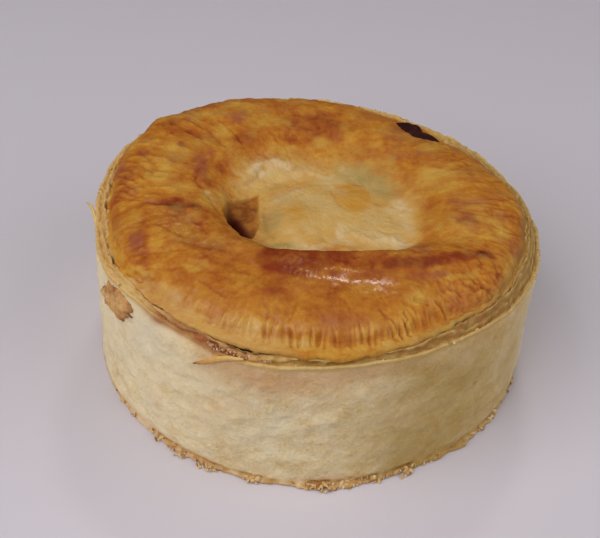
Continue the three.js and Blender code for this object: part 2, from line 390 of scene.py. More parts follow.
def makeStudio(s):
    size = s["floorSize"] / 2
    corners = [(-size, -size, 0), (size, -size, 0), (size, size, 0), (-size, size, 0)]
    mesh = bpy.data.meshes.new("floor")
    mesh.from_pydata(corners, [], [(0, 1, 2, 3)])
    material, _, shader = newMaterial("paleFloor")
    shader.inputs["Base Color"].default_value = linear(*s["floorColour"])
    shader.inputs["Roughness"].default_value = s["floorRoughness"]
    mesh.materials.append(material)
    floor = bpy.data.objects.new("floor", mesh)
    bpy.context.scene.collection.objects.link(floor)
    for name, (place, wide, power, colour) in s["lamps"].items():
        data = bpy.data.lights.new(name, "AREA")
        data.energy, data.size, data.color = power, wide, colour
        lamp = bpy.data.objects.new(name, data)
        lamp.location = place
        lamp.rotation_mode = "QUATERNION"
        lamp.rotation_quaternion = (Vector(s["lampAim"]) - lamp.location).to_track_quat("-Z", "Y")
        bpy.context.scene.collection.objects.link(lamp)
    world = bpy.data.worlds.new("softRoom")
    world.use_nodes = True
    background = world.node_tree.nodes["Background"]
    background.inputs["Color"].default_value = (*s["worldColour"], 1)
    background.inputs["Strength"].default_value = s["world"]
    bpy.context.scene.world = world
    bpy.context.scene.view_settings.view_transform = "Standard"


makeStudio(studio)
print("studio set")

# the outline that case and lid share, as a tour from the right by the back
rimTour = [54.9, 53.2, 50.6, 51.2, 52.8, 54.6, 54.6, 55.2, 55.0, 54.4, 53.5, 54.7]

lid = dict(
    pointsAround=800, denserInFront=0.35, coarseWithin=14,
    # start, end and step of the rings: insets near the edge, then radii as parts of a whole
    outerSteps=[(0.25, 3.0, 0.25), (3.0, 10.01, 0.35)],
    innerSteps=[(41.4, 27, -0.62), (27, 0.4, -0.38)], innerWhole=42,
    edgeInset=[
        3.2, 3.5, 4, 3.6, 2.8, 2.3, 2.3, 2.2, 1.3, 0.8, 1, 1.9, 3.2, 3.5, 2.7, 1.9, 1.7, 1.3, 0.8, 1,
        1.7, 2.2, 2.2, 2.9],
    edgeFoot=[40.8, 40.2, 39.8, 39.9, 40.4, 41.0, 41.3, 41.3, 41.2, 40.0, 40.3, 40.7],
    edgeThickness=[0.5, 0.5, 0.6, 0.8, 0.8, 0.7, 0.6, 1.0, 1.2, 1.9, 1.7, 0.9],
    # layers of the cut edge: inward, share of the height, roughness
    edgeLayers=[(1.6, -0.1, 0.1), (0.3, 0.05, 0.3), (0.05, 0.35, 0.45), (0.0, 0.7, 0.35)], edgeLeast=0.8,
    # the plain underside: radius and height of two rings, inset and height of the third
    underRings=[(18, 34.0), (38, 36.0)], underEdge=(6, 38.6),
    flangeWidth=[0.5, 1.0, 2.0, 2.2, 1.6, 0.8, 0.6, 1.4, 3.0, 3.6, 2.8, 1.0],
    ringHeight=[46.0, 45.6, 45.2, 45.3, 46.2, 46.6, 46.8, 46.8, 46.6, 46.4, 46.2, 46.0],
    outerFlank=[11, 12, 12, 10, 9.5, 10, 11, 12, 12, 12, 12, 11],
    sunkRadius=[20, 16, 13.5, 12.5, 13, 15, 16.5, 17.5, 19, 18.6, 19.6, 23.5],
    innerFlank=[15, 18, 20, 20, 18, 15, 14.5, 14, 9, 5.5, 6.5, 10],
    floorHeight=41.2, edgeWaver=0.5, edgeNicks=0.35, edgeLift=0.4, liftReach=12,
    fold=dict(start=(-15, -27.0), end=(46, -20.0), crest=0.9, dentSide=1.7, frontSide=6.5,
              fadeIn=0.14, fadeOut=0.4),
    curl=dict(angle=147 * degree, spread=5 * degree, rise=1.3, reach=5),
    burnDip=dict(angle=53 * degree, spread=9 * degree, width=5.0),
    # soft rises and hollows: x, y, length, width, turn in degrees, height
    swells=[
        (-4, -6, 8, 7, 0, 1.5), (8, 1, 8, 7, 0, 1.2), (16, -9, 7, 5, 0, 0.8),
        (-11.5, -8.5, 2.6, 6, 12, -0.7), (13, 12, 8, 3.5, -25, -0.7), (-1, -1, 2, 6, 20, -0.35),
        (-14, 12, 8, 2.6, 42, 0.8), (-5, 15, 6, 2.2, 0, 0.6), (-27.5, 14, 2.2, 2.6, 30, 0.5),
        (-29, 4, 2, 4, -10, 0.55), (-22, 30, 3.2, 3, 0, 0.5), (-36, 15, 1.6, 1.6, 0, 0.4),
        (-34, 24, 3, 1.8, 20, 0.35), (30, 18, 3.2, 2, 40, 0.35), (38, 2, 3, 1.8, 80, 0.3),
        (-6, 28, 5.5, 3, 5, 0.5), (4, 28, 4.6, 2.6, -10, 0.45), (22, -35, 3, 1.8, 20, 0.7),
        (27, -36, 2, 2.6, -30, 0.6), (32, -31, 3, 1.6, 30, 0.5), (-30, -24, 4.6, 2.2, -40, 0.4),
        (-12, -38, 5, 2.4, 0, 0.35), (8, -30, 8, 2.4, 4, 0.35), (30, -13.5, 9, 4, 8, -1.4)],
    smoothPatches=[(-3.5, -28, 3, 1.2, 4, 0.12), (6, -32.5, 7, 2.2, -6, 1), (14, -33.8, 6, 1.8, -3, 1)],
    glints=[
        (-9, -47, 9, 2.6, -8, 0.6), (12, -46, 12, 2.6, 8, 0.35), (-24, -41, 6, 3, -32, 0.4),
        (-30, -20, 14, 10, 0, 0.15), (32, -33, 8, 4, 35, 0.3)],
    # drawn creases: points, width, depth
    creases=[
        ([(-52.1, 7.6), (-48.2, 4.3), (-43.7, 0.3), (-40.8, -2.7)], 0.6, 0.55),
        ([(-51.8, 4.6), (-47.9, 1.2), (-43.8, -2.5), (-41.3, -5.5)], 0.6, 0.6),
        ([(-51.3, 1.6), (-47.9, -1.6), (-44.4, -4.8), (-42, -7.8)], 0.6, 0.5),
        ([(-50.7, -1.7), (-47.7, -4.5), (-44.5, -7.1), (-39.8, -9.4)], 0.6, 0.55),
        ([(-50.1, -5.2), (-44.7, -8.8), (-39.6, -10.5), (-33.6, -11.1)], 0.7, 0.5),
        ([(-52, 11.3), (-47.4, 7.6), (-43, 3.6), (-38.6, -1.2)], 0.6, 0.45),
        ([(-51.1, 16.3), (-46.9, 12.3), (-42.3, 7.1), (-37.7, 1)], 0.7, 0.4),
        ([(-37.6, -13.2), (-33.8, -14.3), (-30.4, -16.9), (-27.3, -21.1)], 0.6, 0.5),
        ([(-34.6, -12.1), (-30.6, -13.9), (-26.8, -18), (-23.4, -22.7)], 0.6, 0.5),
        ([(-42.1, -28), (-38.1, -28.1), (-33.6, -27.8), (-28, -27.1)], 0.7, 0.55),
        ([(-34.2, -23.4), (-28.2, -25.2), (-22.4, -25.5), (-17.8, -26.3)], 0.8, 0.5),
        ([(-29.8, -30.9), (-25.1, -32.1), (-20.3, -34.9)], 0.6, 0.45),
        ([(-25.9, -36.5), (-23.4, -37.4), (-20.7, -39.6), (-17.9, -41.2)], 0.7, 0.6),
        ([(-17, -41), (-15.5, -38.5), (-12.4, -35.6), (-10.2, -32.5)], 1.2, 0.3),
        ([(-38.1, 22.1), (-32.6, 20), (-26.7, 12.9)], 0.6, 0.4),
        ([(-34.6, 25.1), (-29, 22.5), (-24.1, 15)], 0.6, 0.45),
        ([(-28.4, 28.3), (-23.4, 23.3), (-19.4, 17)], 0.7, 0.5),
        ([(-13, 24), (-9, 20), (-7, 16)], 0.7, 0.4),
        ([(-29.9, 6.4), (-30.2, 2.3), (-29.9, -0.2), (-28.5, -1.9), (-26.8, -1.5)], 0.5, 0.9),
        ([(-28.8, 14), (-27.2, 12.8), (-26.9, 10.7), (-28.4, 8.5), (-28.6, 5.6)], 0.5, 0.7),
        ([(-27.4, -2.7), (-24.7, -7.4), (-22.9, -10.2)], 0.6, 0.4),
        ([(-38.7, -32.3), (-32.9, -32.9), (-27.3, -32.8)], 0.6, 0.4),
        ([(-38.4, -18.4), (-33.5, -20.5), (-28.4, -23.7)], 0.6, 0.4),
        ([(-45.7, -20.2), (-43, -19.3), (-40.1, -19.8)], 0.5, 0.4),
        ([(-43.6, -27.9), (-41.4, -26.4), (-38.3, -25.2)], 0.5, 0.4),
        ([(-42.2, -31.2), (-39.6, -32.6), (-37.2, -34), (-35.2, -35)], 0.5, 1.1),
        ([(51.1, 6.5), (45.1, 2.6), (40, 1.4)], 0.7, 0.4),
        ([(52.1, -0.7), (45.9, -3.5), (40.1, -5)], 0.7, 0.45),
        ([(52.3, -7.6), (46.3, -9.9), (41.6, -12.2)], 0.6, 0.4),
        ([(49.8, 15.2), (43.7, 10.7), (38.4, 8.1)], 0.7, 0.4),
        ([(47.3, 22.2), (41.2, 17.4), (36.2, 13.2)], 0.6, 0.35),
        ([(43.9, 27.5), (38.3, 21.6), (33.3, 17.4)], 0.6, 0.35),
        ([(50.8, -13.7), (46.9, -15.2), (44, -17)], 0.7, 0.3),
        ([(27.7, -36.3), (29.8, -37), (31.5, -39.5)], 0.45, 1),
        ([(22.7, -37), (24.5, -36.8), (26.8, -37.7)], 0.55, 1.3),
        ([(33.8, -29.9), (36.2, -30.4), (37.8, -31.3)], 0.5, 1),
        ([(36.2, -28.6), (39.1, -28.9), (39.7, -30.4)], 0.5, 0.8),
        ([(37.2, -31.1), (39.6, -29.3), (41.6, -29.5)], 0.5, 0.8),
        ([(30.5, -32.3), (32.9, -32.4), (34.5, -33.3)], 0.5, 0.7),
        ([(-1.4, -40.9), (-3.2, -43.1), (-4, -47.1)], 0.6, 0.5),
        ([(-10.4, -41.5), (-8.8, -44.6), (-9, -46.9)], 0.5, 0.4),
        ([(15.6, -41.5), (18.4, -43.2), (19.9, -45.3)], 0.5, 0.7),
        ([(21, -40.3), (22, -42.1), (21.2, -44)], 0.4, 0.8), ([(7.8, -39.5), (9, -42.8)], 0.6, 0.3),
        ([(3.9, -26.4), (7.4, -27.5), (10.3, -25.5), (12.6, -26.1)], 0.6, 0.45),
        ([(12.6, -25.5), (14, -27.2), (13.1, -29.6)], 0.6, 0.5),
        ([(19.5, -25.8), (22.3, -24.2), (24.6, -25.1)], 0.6, 0.45),
        ([(2.7, 9.8), (4.2, 4.4), (6.1, -1.7)], 0.7, 0.35),
        ([(-12.5, -2), (-11.6, -9), (-9, -14)], 1.2, 0.5),
        ([(-21.5, 2.7), (-18.5, 5.2), (-16.3, 8.5), (-14.5, 11.5), (-12.1, 13.3)], 0.7, 0.4),
        ([(3.5, 8), (9, 11), (16, 9.5), (20, 6)], 1.4, 0.3),
        ([(1, -12), (5, -14), (11, -14.5)], 0.8, 0.35), ([(14, -8), (18, -9), (22, -8)], 0.8, 0.35),
        ([(11.9, -11.5), (14.3, -9.3), (15.8, -11.9)], 0.6, 0.3)],
    # drawn rises, in the same way
    ridges=[
        ([(-22.1, 3.7), (-19.6, 5.8), (-17.5, 8.3), (-16.1, 11.7), (-13.8, 14.8), (-10.7, 15.2),
          (-7.6, 15.2)], 1.2, 0.6),
        ([(-10.7, 9.1), (-7.4, 12.3), (-3.4, 14.1), (0.8, 13.1)], 1, 0.4),
        ([(-11.6, -0.1), (-9.2, 1.8), (-7.1, 3.8), (-3.5, 7.4)], 0.8, 0.35),
        ([(5.8, -11), (10, -10.4), (14, -12.4), (18.5, -11), (22, -12.5)], 1, 0.4),
        ([(31, -41), (34.5, -37.6), (38, -34.8)], 0.8, 0.6),
        ([(30, -34.5), (33.5, -31.2), (36.5, -28.6)], 0.9, 0.4),
        ([(33.5, -41.5), (37.5, -38.8), (40.5, -35.6)], 0.8, 0.6),
        ([(38.6, -33.6), (41.5, -30.8), (43.6, -27)], 0.8, 0.6),
        ([(44, -33), (46.4, -28.6), (48, -24)], 0.7, 0.5)],
    # the vent: its outline, the line of its wall, and how the flap slopes down to it
    vent=dict(
        outline=[(-21.8, -2.3), (-14.6, 3.6), (-13.4, -7.5), (-14.4, -13.8), (-15.1, -16.1), (-17, -17),
                 (-18.6, -15.3), (-20.4, -13.1), (-21.7, -10.1), (-22.5, -7.4)],
        wallPoint=(-20.4, -13.1), turn=-61 * degree, shallow=0.3, flapDrop=3.2, flapRun=11.0, holeAt=4.5,
        holeRun=2.0, holeDrop=4.0, holeTop=-3.4, holeFade=3.0, darkenedBeyond=1.7, edge=0.8, edgeShare=0.3,
        undercut=1.2, undercutAt=0.6, undercutWidth=1.4),
)


def lidEdgeRadius(angle):
    waver = lid["edgeWaver"] * unevenWave(angle, 41, [5, 9, 16, 27])
    waver = waver + lid["edgeNicks"] * edgeLumps(angle, 1.7, 45)
    return tour(angle, rimTour) - tour(angle, lid["edgeInset"]) + waver


def foldRise(x, y):
    s = lid["fold"]
    (ax, ay), (bx, by) = s["start"], s["end"]
    length = math.hypot(bx - ax, by - ay)
    along = ((x - ax) * (bx - ax) + (y - ay) * (by - ay)) / length ** 2
    behind = ((y - ay) * (bx - ax) - (x - ax) * (by - ay)) / length
    reach = np.where(behind > 0, s["dentSide"], s["frontSide"])
    return s["crest"] * bell(behind / reach) * window(along, 0, s["fadeIn"], 1, s["fadeOut"])


def lidGround(angle, radius):
    def sized(name):
        return tour(angle, lid[name])

    def nearAngle(s):
        return bell(angleBetween(angle, s["angle"]) / s["spread"])

    x, y = radius * np.cos(angle), radius * np.sin(angle)
    inset = lidEdgeRadius(angle) - radius
    flangeWidth = sized("flangeWidth") + lid["burnDip"]["width"] * nearAngle(lid["burnDip"])
    flangeTop = sized("edgeFoot") + sized("edgeThickness")
    ring = mix(flangeTop, sized("ringHeight"), roundShoulder((inset - flangeWidth) / sized("outerFlank")))
    inner = smooth((radius - sized("sunkRadius")) / sized("innerFlank"))
    curl = lid["curl"]["rise"] * nearAngle(lid["curl"]) * smooth(1 - inset / lid["curl"]["reach"])
    lift = lid["edgeLift"] * unevenWave(angle, 43, [4, 7, 12]) * smooth(1 - inset / lid["liftReach"])
    return mix(lid["floorHeight"], ring, inner) + foldRise(x, y) + curl + lift + spots(x, y, lid["swells"])


# short folds where the puffed ring meets the flange
pleat = dict(
    seed=7, everywhere=0.06, reach=4, slantPerMm=0.006, slantFrom=4, fadeIn=1.2, fadeOut=3.5,
    bulge=0.5, bulgeAt=1.6, bulgeWidth=1.2,  # beside each fold, the last two in its widths
    # smallest and largest width, depth, slant, start and end
    drawn=[(0.28, 0.5), (0.5, 1.3), (-1, 1), (0.8, 2.6), (5.0, 8.5)],
    spacing=[(1.0, 1.7), (1.6, 3.0)],  # degrees, the one or the other
    # where they are strong: angle, spread, strength
    zones=[(-90, 6, 0.9), (-66, 7, 0.8), (-78, 5, 0.4), (-104, 8, 0.45), (-50, 6, 0.25), (-36, 8, 0.15),
           (-15, 10, 0.15), (170, 16, 0.25), (200, 10, 0.2), (20, 20, 0.15)],
)
pleatRows = []
draw = np.random.default_rng(pleat["seed"])
turned = 0.0
while turned < fullTurn:
    pleatRows.append((turned, *[draw.uniform(*limits) for limits in pleat["drawn"]]))
    turned += draw.choice([draw.uniform(*limits) for limits in pleat["spacing"]]) * degree


def pleats(angle, inset):
    s = pleat
    total = np.zeros(np.shape(angle))
    for start, width, depth, slant, first, last in pleatRows:
        turn = start + slant * s["slantPerMm"] * (inset - s["slantFrom"])
        gap = angleBetween(angle, turn) * edgeLength
        near = np.abs(gap) < s["reach"]
        gap = gap[near] / width
        fold = np.exp(-np.abs(gap)) - s["bulge"] * bell((gap - s["bulgeAt"]) / s["bulgeWidth"])
        total[near] -= depth * fold * window(inset[near], first, s["fadeIn"], last, s["fadeOut"])
    return (s["everywhere"] + places(angle, s["zones"])) * total


# relief of the lid's skin: strengths in millimetres, and where it is grooved, crumpled, wrinkled and wavy
lidSkin = dict(
    groove=0.35, wave=0.26, broad=0.3, lump=0.14, sunkLump=0.14, fold=0.11, sunkFold=0.07, grain=0.06,
    crumple=0.6, crevice=0.5, creviceWidth=0.07, coarseWrinkle=0.3, fineWrinkle=0.2, calmed=0.85, sunkFade=8,
    grooved=[(-85, 22, 1.0), (-50, 14, 0.8)], grooveInset=0.6, grooveWidth=0.9, crumpled=[(-38, 16, 1.0)],
    wrinkled=[0.9, 0.7, 0.3, 0.2, 0.4, 0.9, 1.0, 0.7, 0.3, 0.15, 0.2, 0.6],
    wavy=[0.3, 0.1, 0.1, 0.1, 0.1, 0.2, 0.4, 0.8, 1.0, 1.0, 0.9, 0.6],
)


# the line above the flange in front, where the ring bulges over it
def flangeGroove(angle, inset):
    strength = places(angle, lidSkin["grooved"]) * (0.7 + 0.6 * edgeLumps(angle, 6, 47))
    above = inset - tour(angle, lid["flangeWidth"]) - lidSkin["grooveInset"]
    return strength * bell(above / lidSkin["grooveWidth"])


def longWrinkles(angle, inset):
    coarse = lidSkin["coarseWrinkle"] * ridged(roundLumps(angle, inset, 4.2, 18, 31))
    fine = lidSkin["fineWrinkle"] * ridged(roundLumps(angle, inset, 2.0, 11, 37))
    return tour(angle, lidSkin["wrinkled"]) * window(inset, 1, 3, 22, 12) * (coarse + fine)


# waves that run along the ring in front
def longWaves(angle, inset):
    strength = tour(angle, lidSkin["wavy"]) * window(inset, 6, 4, 30, 8)
    return strength * ridged(roundLumps(angle, inset, 16, 4.5, 39))


def lidRelief(x, y, angle, inset, radius):
    s = lidSkin
    flat = np.stack([x, y, 0 * x], -1)
    sunk = 1 - smooth((radius - tour(angle, lid["sunkRadius"])) / s["sunkFade"])
    calm = 1 - s["calmed"] * limit(spots(x, y, lid["smoothPatches"]))
    grown = smooth(inset / 3) * calm
    total = pleats(angle, inset) - s["groove"] * flangeGroove(angle, inset)
    total += (longWrinkles(angle, inset) + s["wave"] * longWaves(angle, inset)) * calm
    total += s["broad"] * roughLumps(flat, 10, 3) * smooth(inset / 5)
    total += (s["lump"] + s["sunkLump"] * sunk) * roughLumps(flat, 4.0, 5) * grown
    total += (s["fold"] - s["sunkFold"] * sunk) * ridged(roughLumps(flat, 2.4, 7, 2)) * grown
    total += s["grain"] * roughLumps(flat, 1.0, 9, 2)
    crumpled = places(angle, s["crumpled"]) * window(inset, 1.2, 2, 12, 6)
    crevices = np.exp(-np.abs(roughLumps(flat, 3.4, 49, 2)) / s["creviceWidth"])
    total += crumpled * (s["crumple"] * roughLumps(flat, 3.0, 50) - s["crevice"] * crevices)
    wx, wy = warped(x, y, 0.6, 2.6, 51)
    for line, width, depth in lid["creases"]:
        total -= depth * stroke(wx, wy, line, width, True)
    for line, width, height in lid["ridges"]:
        total += height * stroke(wx, wy, line, width)
    return total


def surfaceNormals(grid):
    alongRing = np.roll(grid, -1, 1) - np.roll(grid, 1, 1)
    acrossRings = np.gradient(grid, axis=0)
    normal = np.cross(acrossRings, alongRing)
    normal /= np.maximum(np.linalg.norm(normal, axis=-1, keepdims=True), 1e-9)
    return np.where(normal[..., 2:] < 0, -normal, normal)


# the vent's flap slopes down to the wall, and its foot is pushed in under the wall;
# returns how far points are inside the vent, and inside its dark hole, soaked with gravy and painted with
# shade
def sinkVent(grid, x, y):
    s = lid["vent"]
    wx, wy = s["wallPoint"]
    uphill = (y - wy) * math.cos(s["turn"]) - (x - wx) * math.sin(s["turn"])
    inside = smooth(insideOutline(x, y, s["outline"]) / s["edge"] + s["edgeShare"])
    hole = smooth((s["holeTop"] - y) / s["holeFade"])
    drop = s["shallow"] + s["flapDrop"] * limit(1 - uphill / s["flapRun"])
    drop += s["holeDrop"] * hole * smooth((s["holeAt"] - uphill) / s["holeRun"])
    grid[..., 2] -= inside * drop
    under = s["undercut"] * inside * bell((uphill - s["undercutAt"]) / s["undercutWidth"])
    grid[..., 0] += under * math.sin(s["turn"])
    grid[..., 1] -= under * math.cos(s["turn"])
    return inside, inside * hole * smooth((s["holeAt"] + s["darkenedBeyond"] - uphill) / s["holeRun"])


def makeLid(material):
    count = lid["pointsAround"]
    around = np.arange(count) * fullTurn / count
    around = around - lid["denserInFront"] * np.cos(around)
    edge = lidEdgeRadius(around)
    outerInsets = np.concatenate([np.arange(*steps) for steps in lid["outerSteps"]])
    innerRadii = np.concatenate([np.arange(*steps) for steps in lid["innerSteps"]])
    radii = [edge - inset for inset in outerInsets]
    radii += [(edge - outerInsets[-1]) * innerRadius / lid["innerWhole"] for innerRadius in innerRadii]
    radius = np.array(radii)
    angle = np.broadcast_to(around, radius.shape)
    inset = edge - radius
    x, y = radius * np.cos(angle), radius * np.sin(angle)
    grid = np.stack([x, y, lidGround(angle, radius)], -1)
    relief = lidRelief(x, y, angle, inset, radius)
    grid = grid + surfaceNormals(grid) * relief[..., None]
    inside, soakedAndShaded = sinkVent(grid, x, y)
    # the cut edge with its layers, and a plain closed underside
    top = grid[0][:, 2]
    foot = np.minimum(tour(around, lid["edgeFoot"]), top - lid["edgeLeast"])
    under = [ringOf(around, *row) for row in lid["underRings"]]
    under.append(ringOf(around, edge - lid["underEdge"][0], lid["underEdge"][1]))
    for k, (inward, share, roughness) in enumerate(lid["edgeLayers"]):
        layered = roundLumps(around, 3.0 * k, 3.0, 1.0, 61 + k)
        under.append(ringOf(around, edge - inward + roughness * layered, mix(foot, top, share)))
    thinned = [2 if row.mean() < lid["coarseWithin"] else 1 for row in radius]
    middle = [row[::step] for row, step in zip(grid, thinned)]
    lowest = (0, 0, lid["underRings"][0][1])
    vertices, faces = skinRings([*under, *middle], lowest, tuple(grid[-1].mean(0)))
    layers = {}
    for name, values in paintLid(x, y, angle, inset, radius, relief, inside, soakedAndShaded).items():
        values = limit(values)
        edgeRows = np.repeat(values[:1], len(under), 0)
        rows = [row[::step] for row, step in zip(values, thinned)]
        layers[name] = np.concatenate([edgeRows.ravel(), *rows, [values[0].mean(), values[-1].mean()]])
    return addPiece("glazedLid", vertices, faces, material, layers)


